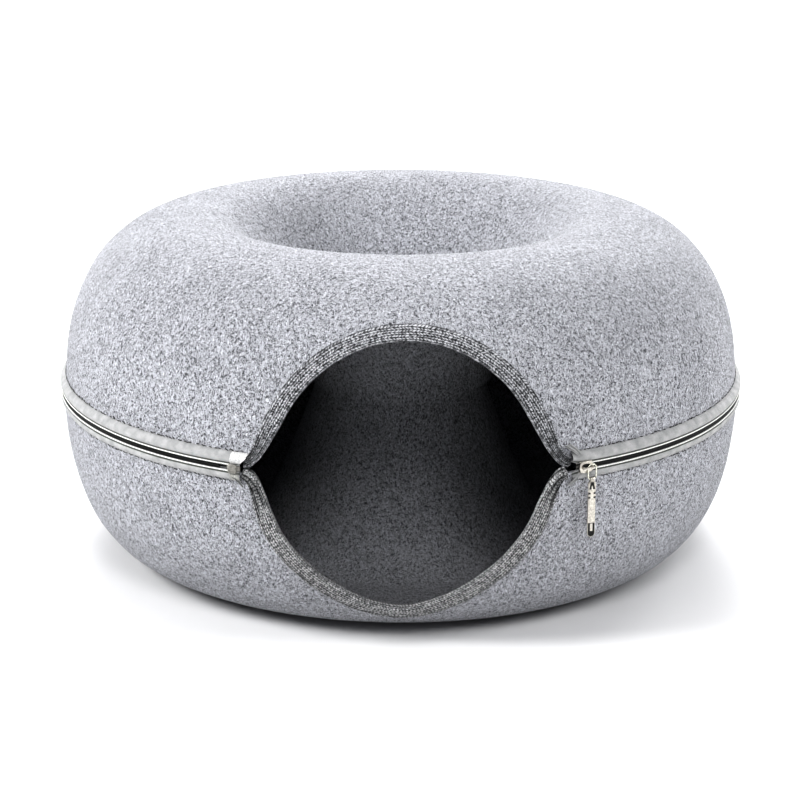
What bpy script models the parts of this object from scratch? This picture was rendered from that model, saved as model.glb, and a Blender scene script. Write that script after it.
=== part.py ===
"""A felt cat cave: a ring-shaped tunnel of two moulded felt half shells.

The halves meet at mid height, where a coil zip runs round the outside from one corner of the
doorway to the other. The doorway is cut through the front of both halves, and a folded tape binds
its edge. The hole in the middle is open from top to bottom.

Metres, +Z up. The doorway faces -Y. The origin lies on the floor, under the middle of the whole
piece's bounding box. Every part is modelled around the hole's axis, with z = 0 at the zip, and then
hangs on one empty that lifts it to its place.
"""

import math

import bmesh
import bpy
import numpy as np
from mathutils import Matrix

# ---------------------------------------------------------------- driving dimensions

ZIP_HEIGHT = 0.123          # middle of the zip above the floor, and each half's own height
AXIS_Y = -0.0084            # the hole's axis: the doorway takes away the ring's front reach
AROUND = 56                 # facets round the ring, shared by all that lies on the felt
GAP = 0.0003                # between pieces that touch
PROBE = 0.001               # step over which a surface's slope is taken

FELT = 0.0040               # felt thickness
FELT_EDGE = 0.0035          # each felt edge stops this far from the middle of the zip

# One row for each half. Radii are of the felt's outer face.
#   wall    radius at the zip               crown   radius where the wall has become level
#   wall_n, wall_m   how square the wall's curve is, outward and upward
#   brow    radius where the inner side starts down         neck    radius of the neck
#   brow_n, brow_m   the inner side's curve                 flare_z height where the neck flares
#   lap     how far the neck reaches past the zip's level, into or round the other neck
HALVES = {
    "upper": dict(wall=0.2457, crown=0.145, wall_n=2.48, wall_m=2.25,
                  brow=0.145, neck=0.0630, brow_n=2.0, brow_m=1.2, flare_z=0.002, lap=0.0),
    "lower": dict(wall=0.2474, crown=0.158, wall_n=3.05, wall_m=2.20,
                  brow=0.130, neck=0.0585, brow_n=1.9, brow_m=1.0, flare_z=0.004, lap=0.010),
}
WALL_POINTS = 12            # profile points up the wall
BROW_POINTS = 8             # and down the inner side

# The felt's cut edge in the front view, right-hand side: x, z and the handles of a smooth curve.
# The left-hand side mirrors it. Rows run from the middle of the arch to the corner.
DOOR = {
    "upper": [dict(at=(0.0, 0.0867), back=None, ahead=(0.0340, 0.0)),
              dict(at=(0.0792, 0.0370), back=(-0.0150, 0.0300), ahead=(0.0112, -0.0192)),
              dict(at=(0.1050, 0.0018), back=(-0.0085, 0.0024), ahead=None)],
    "lower": [dict(at=(0.0, 0.0983), back=None, ahead=(0.0240, 0.0)),
              dict(at=(0.0835, 0.0360), back=(-0.0136, 0.0312), ahead=(0.0086, -0.0183)),
              dict(at=(0.1038, 0.0018), back=(-0.0085, 0.0022), ahead=None)],
}
# How far each half's edge is drawn to the right: at its corners, and at the middle of its arch.
DOOR_LEAN = {"upper": (0.0, 0.0), "lower": (-0.0010, -0.0035)}
DOOR_STEPS = (12, 8)        # stations on the arch and on the flank of one side
DOOR_DEPTH = (0.120, 0.300) # the cutter reaches from here to here in front of the axis

BINDING = 0.0106            # width of each leg of the folded tape
BINDING_ROWS = (1.0, 0.55, 0.12)      # points across each leg, as shares of its width
FOLD_SPREAD = 0.0002        # the fold is wider than the felt by this much on each side
BINDING_TAPE = 0.0010       # its thickness
BINDING_TUCK = 0.52         # share of the width left at the corners, where it is gathered
TUCK_LENGTH = 0.040         # length over which it is gathered
INSIDE_GAP = 0.0008         # clearance of the inner leg over the felt's flat facets

# The zip. Heights are from the middle of the zip, radii from the hole's axis.
ZIP_TAPE = 0.0010           # tape thickness
ZIP_END = math.radians(25.7)      # the tapes stop this far from the middle of the doorway
COIL_INNER, COIL_OUTER = 0.2474, 0.2491
COIL_HALF = 0.0016          # height of one coil
# Outer face of each tape, from the felt to the coil: z and radius.
TAPE_FACE = {
    "upper": [(0.0104, 0.2460), (0.0092, 0.2480), (0.0074, 0.2493), (0.0056, 0.2500),
              (0.0040, 0.2496), (0.0031, 0.2488), (0.0025, 0.2493), (0.0019, 0.2492)],
    "lower": [(0.0086, 0.2479), (0.0074, 0.2490), (0.0058, 0.2496), (0.0045, 0.2496),
              (0.0036, 0.2492), (0.0030, 0.2488), (0.0025, 0.2493), (0.0019, 0.2492)],
}
FILM = 0.0004               # stiffening film on the left-hand tape ends
FILM_ROWS = 5               # it covers this many points of the tape's face
FILM_LENGTH = math.radians(2.5)
BOX_ANGLE = math.radians(-26.9)
BOX_CAP = (0.0092, 0.0019, 0.0066)    # end box: along the zip, outward, upward
BOX_ROUND = 0.0006                    # rounding of its edges
BOX_STEM = (0.0092, 0.0022, 0.0034)   # its middle, between the two tapes
BOX_FACE = 0.2497                     # radius where the cap meets the stem

# Slider, link and tab, in the slider's frame: x along the zip, y towards the axis, z up.
SLIDER_ANGLE = math.radians(27.9)
PLATE_FACE = 0.2502                   # radius of the outer plate's inner face
PLATE = (0.0110, 0.0012, 0.0088)      # outer plate
PLATE_TAIL = 0.72                     # its height at the tail end, as a share
PLATE_ROUND = 0.0004                  # rounding of its edges
KEEL_FACE = 0.2462                    # radius of the inner plate's outer face
KEEL = (0.0100, 0.0010, 0.0062)       # inner plate, between the felt edges
KEEL_ROUND = 0.0003
POST = (0.0020, 0.0044, 0.0024)       # the post that joins the plates at the nose
POST_X = -0.0040
BAIL_HALF, BAIL_RISE = 0.0040, 0.0034
BAIL_BAR = (0.0010, 0.0016)           # thickness and height of the bail's strip
BAIL_SHOULDER = 0.0013                # its corners are cut off by this much
SINK = 0.0003                         # depth to which joined shapes run into each other
LINK_WIRE = 0.0011
LINK_HALF = (0.00245, 0.00495)        # wire's centre line, half width and half height
LINK_CORNER = 0.0016
LINK_X = 0.0033
EYE_HOLE, EYE_OUTER, EYE_WIDTH = 0.00085, 0.0016, 0.0026
TAB = (0.0032, 0.0014, 0.0397)        # width, thickness, and length below the eye's centre
TAB_SHOULDER = 0.0012                 # height over which it narrows towards the eye
TAB_WINDOW = ((0.0023, 0.0003), (0.0060, 0.0009))    # distance below the eye, half width
TAB_RECESS = (0.0307, 0.0386, 0.00105, 0.0004)       # top, bottom, half width, depth

COLOURS = {
    "felt": (0.50, 0.51, 0.55, 1.0),
    "herringbone tape": (0.17, 0.17, 0.18, 1.0),
    "zip tape": (0.50, 0.50, 0.48, 1.0),
    "nylon coil": (0.02, 0.02, 0.02, 1.0),
    "film": (0.80, 0.80, 0.78, 1.0),
    "moulded box": (0.42, 0.41, 0.37, 1.0),
    "nickel": (0.75, 0.72, 0.66, 1.0),
}
ROUGHNESS = {
    "felt": 0.95, "herringbone tape": 0.85, "zip tape": 0.75, "nylon coil": 0.45,
    "film": 0.25, "moulded box": 0.40, "nickel": 0.28,
}
METALS = ("nickel",)


# ---------------------------------------------------------------- helpers

def clear_scene():
    for item in list(bpy.data.objects):
        bpy.data.objects.remove(item, do_unlink=True)


def material(name):
    """The part's Principled material, made once."""
    found = bpy.data.materials.get(name)
    if found:
        return found
    made = bpy.data.materials.new(name)
    made.use_nodes = True
    shader = made.node_tree.nodes["Principled BSDF"]
    shader.inputs["Base Color"].default_value = COLOURS[name]
    shader.inputs["Roughness"].default_value = ROUGHNESS[name]
    shader.inputs["Metallic"].default_value = 1.0 if name in METALS else 0.0
    made.diffuse_color = COLOURS[name]
    return made


def add_object(name, mesh, finish, parent):
    """Links a mesh as a named object with its own finish, under the parent empty."""
    piece = bpy.data.objects.new(name, mesh)
    bpy.context.scene.collection.objects.link(piece)
    mesh.materials.append(material(finish))
    mesh.shade_smooth()
    mesh.set_sharp_from_angle(angle=math.radians(35))
    piece.parent = parent
    return piece


def resample(points, count):
    """Evenly spaced points along a dense polyline, both ends kept."""
    points = np.asarray(points)
    along = np.r_[0.0, np.cumsum(np.linalg.norm(np.diff(points, axis=0), axis=1))]
    stops = np.linspace(0.0, along[-1], count)
    return np.stack([np.interp(stops, along, points[:, k]) for k in range(points.shape[1])], axis=1)


def bezier(start, start_handle, end_handle, end, steps):
    """Points on a cubic curve, without its last point. Handles are relative to their ends."""
    start, end = np.array(start), np.array(end)
    first, second = start + start_handle, end + end_handle
    t = np.linspace(0.0, 1.0, steps, endpoint=False)[:, None]
    return ((1 - t) ** 3 * start + 3 * t * (1 - t) ** 2 * first
            + 3 * t ** 2 * (1 - t) * second + t ** 3 * end)


def facet(angle):
    """Shrinks a radius to the flat facets of a ring of AROUND sides with a corner at +X."""
    step = 2 * math.pi / AROUND
    return math.cos(step / 2) / math.cos(angle % step - step / 2)


def finish_mesh(name, shape):
    mesh = bpy.data.meshes.new(name)
    shape.to_mesh(mesh)
    shape.free()
    return mesh


def loft(name, sections, closed=False):
    """A body through loops of equal length, joined end to end or capped at both ends."""
    shape = bmesh.new()
    rings = [[shape.verts.new(point) for point in loop] for loop in sections]
    count = len(rings[0])
    following = rings[1:] + rings[:1] if closed else rings[1:]
    for near, far in zip(rings, following):
        for k in range(count):
            after = (k + 1) % count
            shape.faces.new((near[k], near[after], far[after], far[k]))
    if not closed:
        shape.faces.new(rings[0])
        shape.faces.new(rings[-1])
    bmesh.ops.recalc_face_normals(shape, faces=shape.faces)
    return finish_mesh(name, shape)


def boxed(shape, size, centre):
    """Adds a box to a bmesh."""
    placed = Matrix.Translation(centre) @ Matrix.Diagonal((*size, 1.0))
    bmesh.ops.create_cube(shape, size=1.0, matrix=placed)


def box_object(name, size, centre, bevel=0.0):
    """A box as a loose object, for unions and cuts."""
    shape = bmesh.new()
    boxed(shape, size, centre)
    if bevel:
        bmesh.ops.bevel(shape, geom=shape.edges[:], offset=bevel, segments=2, affect="EDGES")
    piece = bpy.data.objects.new(name, finish_mesh(name, shape))
    bpy.context.scene.collection.objects.link(piece)
    return piece


def guide(piece, parent):
    """Marks an object as a cutter or a helper, and hangs it with the rest."""
    piece.hide_render = True
    piece.display_type = "WIRE"
    piece.parent = parent
    return piece


def boolean(piece, other, operation):
    step = piece.modifiers.new(operation.title() + " " + other.name, "BOOLEAN")
    step.operation = operation
    step.object = other


# ---------------------------------------------------------------- felt half shells

def wall_curve(half):
    """The felt's outer face from the zip's level to the neck's end, z up: dense (r, z) rows."""
    h = ZIP_HEIGHT
    turn = np.linspace(0.0, math.pi / 2, 1500)
    low = np.sin(turn) ** (2 / half["wall_m"]) * h
    wall = np.stack([half["crown"] + (half["wall"] - half["crown"])
                     * np.cos(turn) ** (2 / half["wall_n"]), low], axis=1)
    flare = half["flare_z"]
    back = turn[::-1]
    brow = np.stack([half["brow"] - (half["brow"] - half["neck"])
                     * np.cos(back) ** (2 / half["brow_n"]),
                     flare + (h - flare) * np.sin(back) ** (2 / half["brow_m"])], axis=1)
    return wall, brow


def wall_radius(half, z):
    """Radius of the felt's outer face on the wall, at a height from the zip."""
    share = np.clip(np.abs(z) / ZIP_HEIGHT, 0.0, 1.0)
    power = (1 - share ** half["wall_m"]) ** (1 / half["wall_n"])
    return half["crown"] + (half["wall"] - half["crown"]) * power


def inner_wall_radius(half, z):
    """Radius of the felt's inner face on the wall, at a height from the zip."""
    above = wall_radius(half, abs(z) + PROBE / 2)
    below = wall_radius(half, max(abs(z) - PROBE / 2, 0.0))
    lean = math.atan((below - above) / PROBE)
    level = abs(z) + FELT * math.sin(lean)
    return wall_radius(half, level) - FELT * math.cos(lean)


def shell_profile(half):
    """The closed section of one half: the outer face, then back along the inner face."""
    wall, brow = wall_curve(half)
    wall = wall[wall[:, 1] >= FELT_EDGE]
    wall = resample(wall, WALL_POINTS)
    brow = resample(brow, BROW_POINTS)
    collar = np.array([[half["neck"], -half["lap"]]])
    joined = [wall]
    if np.allclose(wall[-1], brow[0]):
        brow = brow[1:]
    joined += [brow, collar]
    outer = np.vstack(joined)
    # Each point's normal is the mean of its two edges', turned towards the felt's inner face.
    edge = np.diff(outer, axis=0)
    edge /= np.linalg.norm(edge, axis=1)[:, None]
    mean = np.vstack([[0.0, 1.0], edge[:-1] + edge[1:], [0.0, -1.0]])
    mean /= np.linalg.norm(mean, axis=1)[:, None]
    stretch = np.r_[1.0, 1 / np.sqrt((1 + (edge[:-1] * edge[1:]).sum(axis=1)) / 2), 1.0]
    inward = np.stack([-mean[:, 1], mean[:, 0]], axis=1) * stretch[:, None] * FELT
    inner = outer + inward
    return np.vstack([outer, inner[::-1]])


def make_shell(name, key, parent, cutter):
    """A turned half shell with its part of the doorway cut away."""
    half = HALVES[key]
    section = shell_profile(half)
    if key == "lower":
        section = section * (1.0, -1.0)
    else:
        section = section[::-1]      # the outer side runs from the top down
    mesh = bpy.data.meshes.new(name)
    count = len(section)
    mesh.from_pydata([(r, 0.0, z) for r, z in section],
                     [(k, (k + 1) % count) for k in range(count)], [])
    piece = add_object(name, mesh, "felt", parent)
    turn = piece.modifiers.new("Turn", "SCREW")
    turn.axis = "Z"
    turn.angle = 2 * math.pi
    turn.steps = turn.render_steps = AROUND
    turn.use_merge_vertices = True
    turn.merge_threshold = 1e-5
    boolean(piece, cutter, "DIFFERENCE")
    return piece


# ---------------------------------------------------------------- doorway

def door_side(key):
    """Stations of the felt's cut edge from the middle of the arch to the right-hand corner."""
    rows = DOOR[key]
    parts = [bezier(near["at"], near["ahead"], far["back"], far["at"], steps)
             for near, far, steps in zip(rows, rows[1:], DOOR_STEPS)]
    return np.vstack(parts + [[rows[-1]["at"]]])


def door_edge(key):
    """The whole cut edge of one half, from the left-hand corner to the right-hand one."""
    right = door_side(key)
    left = right[:0:-1] * (-1.0, 1.0)
    edge = np.vstack([left, right])
    corner, middle = DOOR_LEAN[key]
    edge[:, 0] += middle + (corner - middle) * (1 - edge[:, 1] / right[0, 1]) ** 2
    return edge if key == "upper" else edge * (1.0, -1.0)


def make_door_cutter(parent):
    """A prism along Y with the doorway's outline."""
    outline = np.vstack([door_edge("upper"), door_edge("lower")[::-1]])
    shape = bmesh.new()
    near, far = DOOR_DEPTH
    face = shape.faces.new([shape.verts.new((x, -far, z)) for x, z in outline])
    grown = bmesh.ops.extrude_face_region(shape, geom=[face])
    moved = [item for item in grown["geom"] if isinstance(item, bmesh.types.BMVert)]
    bmesh.ops.translate(shape, verts=moved, vec=(0.0, far - near, 0.0))
    bmesh.ops.recalc_face_normals(shape, faces=shape.faces)
    cutter = bpy.data.objects.new("doorway_cutter", finish_mesh("doorway_cutter", shape))
    bpy.context.scene.collection.objects.link(cutter)
    return guide(cutter, parent)


def front_depth(half, x, z, inside):
    """How far in front of the axis the felt's outer or inner face lies, at a front-view place."""
    radius = inner_wall_radius(half, z) if inside else wall_radius(half, z)
    return math.sqrt(radius ** 2 - x ** 2)


def slope_factor(half, x, z, inside):
    """Length along the view direction of one unit of clearance square to the face."""
    here = front_depth(half, x, z, inside)
    across = (front_depth(half, x + PROBE, z, inside) - here) / PROBE
    upward = (front_depth(half, x, z + math.copysign(PROBE, z), inside) - here) / PROBE
    return math.sqrt(1 + across ** 2 + upward ** 2)


def make_binding(name, key, parent):
    """The folded tape on one half of the doorway: an outer leg, the fold and an inner leg."""
    half = HALVES[key]
    edge = door_edge(key)
    along = np.r_[0.0, np.cumsum(np.linalg.norm(np.diff(edge, axis=0), axis=1))]
    tangent = np.gradient(edge, along, axis=0)
    tangent /= np.linalg.norm(tangent, axis=1)[:, None]
    side = 1.0 if key == "upper" else -1.0
    away = np.stack([-tangent[:, 1], tangent[:, 0]], axis=1) * side
    loops = []
    for place, run, out in zip(edge, along, away):
        left = min(run, along[-1] - run) / TUCK_LENGTH
        ease = min(left, 1.0) ** 2 * (3 - 2 * min(left, 1.0))
        width = BINDING * (BINDING_TUCK + (1 - BINDING_TUCK) * ease)

        def put(distance, inside, lift):
            """A point at a distance from the cut edge, lifted off the felt's face."""
            base = front_depth(half, *place, inside)
            lean = (front_depth(half, *(place + out * PROBE), inside) - base) / PROBE
            x, z = place + out * distance / math.sqrt(1 + lean ** 2)
            depth = front_depth(half, x, z, inside)
            reach = lift * slope_factor(half, x, z, inside)
            return (x, -(depth - reach if inside else depth + reach), z)

        fold = GAP + BINDING_TAPE
        rows = BINDING_ROWS
        outer = [put(width * share, False, fold) for share in rows]
        nose = [put(-fold, False, -FOLD_SPREAD), put(-fold, True, -FOLD_SPREAD)]
        inner = [put(width * share, True, INSIDE_GAP + BINDING_TAPE) for share in rows[::-1]]
        under_inner = [put(width * share, True, INSIDE_GAP) for share in rows[:2]]
        bend = [put(-GAP, True, INSIDE_GAP), put(-GAP, False, GAP)]
        under_outer = [put(width * share, False, GAP) for share in rows[1::-1]]
        loops.append(outer + nose + inner + under_inner + bend + under_outer)
    return add_object(name, loft(name, loops), "herringbone tape", parent)


# ---------------------------------------------------------------- zip

def ring_angles(start, end):
    """Angles of a strip round the ring, with a station at each of the shells' corners."""
    step = 2 * math.pi / AROUND
    first, last = math.ceil(start / step + 0.05), math.floor(end / step - 0.05)
    return [start] + [k * step for k in range(first, last + 1)] + [end]


def sweep(name, loop, start, end, finish, parent):
    """Carries a closed (r, z) loop round the hole's axis, on the same facets as the felt."""
    loops = []
    for angle in ring_angles(start, end):
        size = facet(angle)
        loops.append([(r * size * math.cos(angle), r * size * math.sin(angle), z) for r, z in loop])
    return add_object(name, loft(name, loops), finish, parent)


def from_door(angle):
    """Takes an angle from the doorway's middle, positive to the right, and gives it from +X."""
    return angle - math.pi / 2


def tape_loop(key, lift, thickness, rows=None, every=1):
    """Section of a strip that follows a tape's outer face: lifted by so much, and so thick.

    Its inner face has every point of the outer one, or every second one.
    """
    side = 1.0 if key == "upper" else -1.0
    face = np.array(TAPE_FACE[key][:rows])
    outer = [(r + lift, z * side) for z, r in face]
    inner = [(r + lift - thickness, z * side) for z, r in face[::-every]]
    return outer + inner


def make_zip(parent):
    start, end = from_door(ZIP_END), from_door(2 * math.pi - ZIP_END)
    post_end = (POST_X + POST[0] / 2 + GAP) / COIL_OUTER
    box_half = (BOX_STEM[0] / 2 + GAP) / COIL_OUTER
    coil_start = from_door(SLIDER_ANGLE) + post_end
    coil_end = from_door(2 * math.pi + BOX_ANGLE) - box_half
    for key, side in (("upper", 1.0), ("lower", -1.0)):
        tape = tape_loop(key, 0.0, ZIP_TAPE, every=2)
        sweep("zip_tape_" + key, tape, start, end, "zip tape", parent)
        low, high = GAP / 2 * side, COIL_HALF * side
        coil = [(COIL_INNER, low), (COIL_OUTER, low), (COIL_OUTER, high), (COIL_INNER, high)]
        sweep("zip_coil_" + key, coil, coil_start, coil_end, "nylon coil", parent)
        film = tape_loop(key, GAP + FILM, FILM, FILM_ROWS)
        sweep("zip_film_" + key, film, end - FILM_LENGTH, end, "film", parent)


def on_ring(name, angle, radius, parent):
    """An empty on the ring: x along the zip, y towards the hole's axis, z up."""
    place = bpy.data.objects.new(name, None)
    bpy.context.scene.collection.objects.link(place)
    heading = from_door(angle)
    place.location = (radius * math.cos(heading), radius * math.sin(heading), 0.0)
    place.rotation_euler = (0.0, 0.0, heading + math.pi / 2)
    place.parent = parent
    return place


def make_box(parent):
    """The retainer box over the end of the chain: a cap outside and a stem between the tapes."""
    place = on_ring("box_place", BOX_ANGLE, BOX_FACE, parent)
    shape = bmesh.new()
    boxed(shape, BOX_CAP, (0.0, -BOX_CAP[1] / 2, 0.0))
    bmesh.ops.bevel(shape, geom=shape.edges[:], offset=BOX_ROUND, segments=2, affect="EDGES")
    piece = add_object("zip_box", finish_mesh("zip_box", shape), "moulded box", place)
    stem = box_object("box_stem", BOX_STEM, (0.0, BOX_STEM[1] / 2 - SINK, 0.0))
    boolean(piece, guide(stem, place), "UNION")


# ---------------------------------------------------------------- slider, link and tab

def make_slider(parent):
    """The cast slider: outer plate, post, inner plate and the bail over the outer plate."""
    place = on_ring("slider_place", SLIDER_ANGLE, PLATE_FACE, parent)
    shape = bmesh.new()
    boxed(shape, PLATE, (0.0, -PLATE[1] / 2, 0.0))
    for vert in shape.verts:
        if vert.co.x > 0:
            vert.co.z *= PLATE_TAIL
    bmesh.ops.bevel(shape, geom=shape.edges[:], offset=PLATE_ROUND, segments=2, affect="EDGES")
    piece = add_object("zip_slider", finish_mesh("zip_slider", shape), "nickel", place)
    keel_depth = PLATE_FACE - KEEL_FACE + KEEL[1] / 2
    keel = box_object("slider_keel", KEEL, (0.0, keel_depth, 0.0), bevel=KEEL_ROUND)
    post = box_object("slider_post", POST, (POST_X, POST[1] / 2 - SINK, 0.0))
    for helper in (keel, post, bail_object()):
        boolean(piece, guide(helper, place), "UNION")
    return place


def bail_object():
    """An arch of flat strip that stands on the outer plate."""
    thick, tall = BAIL_BAR
    foot, top = SINK - PLATE[1], -PLATE[1] - BAIL_RISE
    shoulder = BAIL_SHOULDER
    centre = [(-BAIL_HALF, foot), (-BAIL_HALF, top + shoulder), (-BAIL_HALF + shoulder, top),
              (BAIL_HALF - shoulder, top), (BAIL_HALF, top + shoulder), (BAIL_HALF, foot)]
    inner = [(x * (1 - thick / BAIL_HALF), y if y == foot else y + thick) for x, y in centre]
    outline = centre + inner[::-1]
    shape = bmesh.new()
    face = shape.faces.new([shape.verts.new((x, y, -tall / 2)) for x, y in outline])
    grown = bmesh.ops.extrude_face_region(shape, geom=[face])
    moved = [item for item in grown["geom"] if isinstance(item, bmesh.types.BMVert)]
    bmesh.ops.translate(shape, verts=moved, vec=(0.0, 0.0, tall))
    bmesh.ops.recalc_face_normals(shape, faces=shape.faces)
    bail = bpy.data.objects.new("slider_bail", finish_mesh("slider_bail", shape))
    bpy.context.scene.collection.objects.link(bail)
    return bail


def link_place():
    """Centre of the link in the slider's frame: it hangs on the bail's right-hand leg."""
    depth = -(PLATE[1] + GAP + LINK_WIRE / 2)
    height = BAIL_BAR[1] / 2 + GAP + LINK_WIRE / 2 - LINK_HALF[1]
    return LINK_X, depth, height


def make_link(place):
    """An oval ring of round wire, as a bevelled curve."""
    half_x, half_z = LINK_HALF
    points = []
    for quarter in range(4):
        side_x = (1, -1, -1, 1)[quarter]
        side_z = (1, 1, -1, -1)[quarter]
        for step in range(5):
            turn = (quarter + step / 4) * math.pi / 2
            points.append((side_x * (half_x - LINK_CORNER) + LINK_CORNER * math.cos(turn),
                           side_z * (half_z - LINK_CORNER) + LINK_CORNER * math.sin(turn)))
    curve = bpy.data.curves.new("zip_link", "CURVE")
    curve.dimensions = "3D"
    curve.bevel_depth = LINK_WIRE / 2
    curve.bevel_resolution = 2
    spline = curve.splines.new("POLY")
    spline.points.add(len(points) - 1)
    for point, (x, z) in zip(spline.points, points):
        point.co = (x, 0.0, z, 1.0)
    spline.use_cyclic_u = True
    curve.materials.append(material("nickel"))
    piece = bpy.data.objects.new("zip_link", curve)
    bpy.context.scene.collection.objects.link(piece)
    piece.location = link_place()
    piece.parent = place


def make_tab(place):
    """The puller: an eye round the link's lower bar, a window, and a bar with a recessed tip."""
    width, thick, length = TAB
    link_x, depth, height = link_place()
    tip = [(math.sin(turn) * width / 2, -length + width / 2 - math.cos(turn) * width / 2)
           for turn in np.linspace(-math.pi / 2, math.pi / 2, 9)]
    top = -(EYE_HOLE + EYE_OUTER) / 2
    shape = bmesh.new()
    outline = tip + [(width / 2, top - TAB_SHOULDER), (EYE_WIDTH / 2, top),
                     (-EYE_WIDTH / 2, top), (-width / 2, top - TAB_SHOULDER)]
    face = shape.faces.new([shape.verts.new((x, -thick / 2, z)) for x, z in outline])
    grown = bmesh.ops.extrude_face_region(shape, geom=[face])
    moved = [item for item in grown["geom"] if isinstance(item, bmesh.types.BMVert)]
    bmesh.ops.translate(shape, verts=moved, vec=(0.0, thick, 0.0))
    bmesh.ops.recalc_face_normals(shape, faces=shape.faces)
    piece = add_object("zip_tab", finish_mesh("zip_tab", shape), "nickel", place)
    piece.location = (link_x, depth, height - LINK_HALF[1] - (EYE_HOLE - LINK_WIRE / 2 - GAP))
    boolean(piece, guide(eye_object(), piece), "UNION")
    (near, narrow), (far, wide) = TAB_WINDOW
    window = bmesh.new()
    rim = [(-narrow, -near), (narrow, -near), (wide, -far), (-wide, -far)]
    face = window.faces.new([window.verts.new((x, -thick, z)) for x, z in rim])
    grown = bmesh.ops.extrude_face_region(window, geom=[face])
    moved = [item for item in grown["geom"] if isinstance(item, bmesh.types.BMVert)]
    bmesh.ops.translate(window, verts=moved, vec=(0.0, 2 * thick, 0.0))
    bmesh.ops.recalc_face_normals(window, faces=window.faces)
    hole = bpy.data.objects.new("tab_window", finish_mesh("tab_window", window))
    bpy.context.scene.collection.objects.link(hole)
    boolean(piece, guide(hole, piece), "DIFFERENCE")
    high, low, half, deep = TAB_RECESS
    recess = box_object("tab_recess", (2 * half, 2 * deep, low - high),
                        (0.0, -thick / 2, -(high + low) / 2))
    boolean(piece, guide(recess, piece), "DIFFERENCE")


def eye_object():
    """The tab's eye: a short tube along the link's lower bar."""
    steps = 14
    loops = []
    for k in range(steps):
        turn = 2 * math.pi * k / steps
        loops.append([(x, r * math.cos(turn), r * math.sin(turn)) for x, r in
                      ((-EYE_WIDTH / 2, EYE_HOLE), (EYE_WIDTH / 2, EYE_HOLE),
                       (EYE_WIDTH / 2, EYE_OUTER), (-EYE_WIDTH / 2, EYE_OUTER))])
    eye = bpy.data.objects.new("tab_eye", loft("tab_eye", loops, closed=True))
    bpy.context.scene.collection.objects.link(eye)
    return eye


def main():
    clear_scene()
    cave = bpy.data.objects.new("cave_axis", None)
    bpy.context.scene.collection.objects.link(cave)
    cave.location = (0.0, AXIS_Y, ZIP_HEIGHT)
    cutter = make_door_cutter(cave)
    make_shell("shell_upper", "upper", cave, cutter)
    make_shell("shell_lower", "lower", cave, cutter)
    make_binding("binding_upper", "upper", cave)
    make_binding("binding_lower", "lower", cave)
    make_zip(cave)
    make_box(cave)
    slider = make_slider(cave)
    make_link(slider)
    make_tab(slider)


main()
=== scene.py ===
import math

import bpy
import numpy as np
from mathutils import Matrix, Vector


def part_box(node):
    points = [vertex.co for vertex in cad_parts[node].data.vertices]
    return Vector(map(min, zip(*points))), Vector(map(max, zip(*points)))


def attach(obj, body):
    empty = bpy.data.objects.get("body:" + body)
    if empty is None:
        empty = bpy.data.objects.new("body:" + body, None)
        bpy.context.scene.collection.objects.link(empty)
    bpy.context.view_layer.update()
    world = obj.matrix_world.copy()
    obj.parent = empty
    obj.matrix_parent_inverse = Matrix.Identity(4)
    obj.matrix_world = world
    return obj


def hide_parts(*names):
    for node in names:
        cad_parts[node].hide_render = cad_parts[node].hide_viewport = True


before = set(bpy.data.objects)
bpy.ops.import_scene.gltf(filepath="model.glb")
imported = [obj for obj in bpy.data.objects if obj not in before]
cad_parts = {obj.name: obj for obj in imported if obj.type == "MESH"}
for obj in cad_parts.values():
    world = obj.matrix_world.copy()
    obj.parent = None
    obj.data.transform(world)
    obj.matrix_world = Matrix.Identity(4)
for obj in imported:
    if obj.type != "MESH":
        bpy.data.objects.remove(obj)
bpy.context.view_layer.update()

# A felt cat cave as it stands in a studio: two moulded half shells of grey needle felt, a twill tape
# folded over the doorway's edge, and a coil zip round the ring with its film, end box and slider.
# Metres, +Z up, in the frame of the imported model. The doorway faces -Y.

# ---------------------------------------------------------------- driving dimensions

TAPE_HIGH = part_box("zip_tape_upper")[1]
COIL_LOW, COIL_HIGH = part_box("zip_coil_upper")[0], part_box("zip_coil_lower")[1]
AXIS_Y = TAPE_HIGH.y - TAPE_HIGH.x            # the tapes reach as far back as to the side
ZIP_HEIGHT = (COIL_LOW.z + COIL_HIGH.z) / 2   # the coils meet at the middle of the zip
GAP = 0.0003                                  # between pieces that touch
PROBE = 0.001                                 # step over which a surface's slope is taken

FELT = 0.0040               # felt thickness
FELT_EDGE = 0.0035          # each felt edge stops this far from the middle of the zip
FELT_TURNS = 300            # steps round the ring
WALL_POINTS, BROW_POINTS = 50, 36
UNEVEN = 0.0005             # the moulded felt is out of true by about this much
BULGE_FREE, BULGE_FADE = 0.012, 0.020  # no bulge this near the zip, and how far it takes to rise
COLLAR_POINTS, DENSE_POINTS = 5, 3000
FELT_MERGE, MERGE = 1e-5, 1e-6         # points nearer than this become one

# The half shells' profiles, as in the part's source: radii of the felt's outer face.
HALVES = {
    "upper": dict(wall=0.2457, crown=0.145, wall_n=2.48, wall_m=2.25,
                  brow=0.145, neck=0.0630, brow_n=2.0, brow_m=1.2, flare_z=0.002, lap=0.0),
    "lower": dict(wall=0.2474, crown=0.158, wall_n=3.05, wall_m=2.20,
                  brow=0.130, neck=0.0585, brow_n=1.9, brow_m=1.0, flare_z=0.004, lap=0.010),
}
SIDE = {"upper": 1.0, "lower": -1.0}

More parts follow.
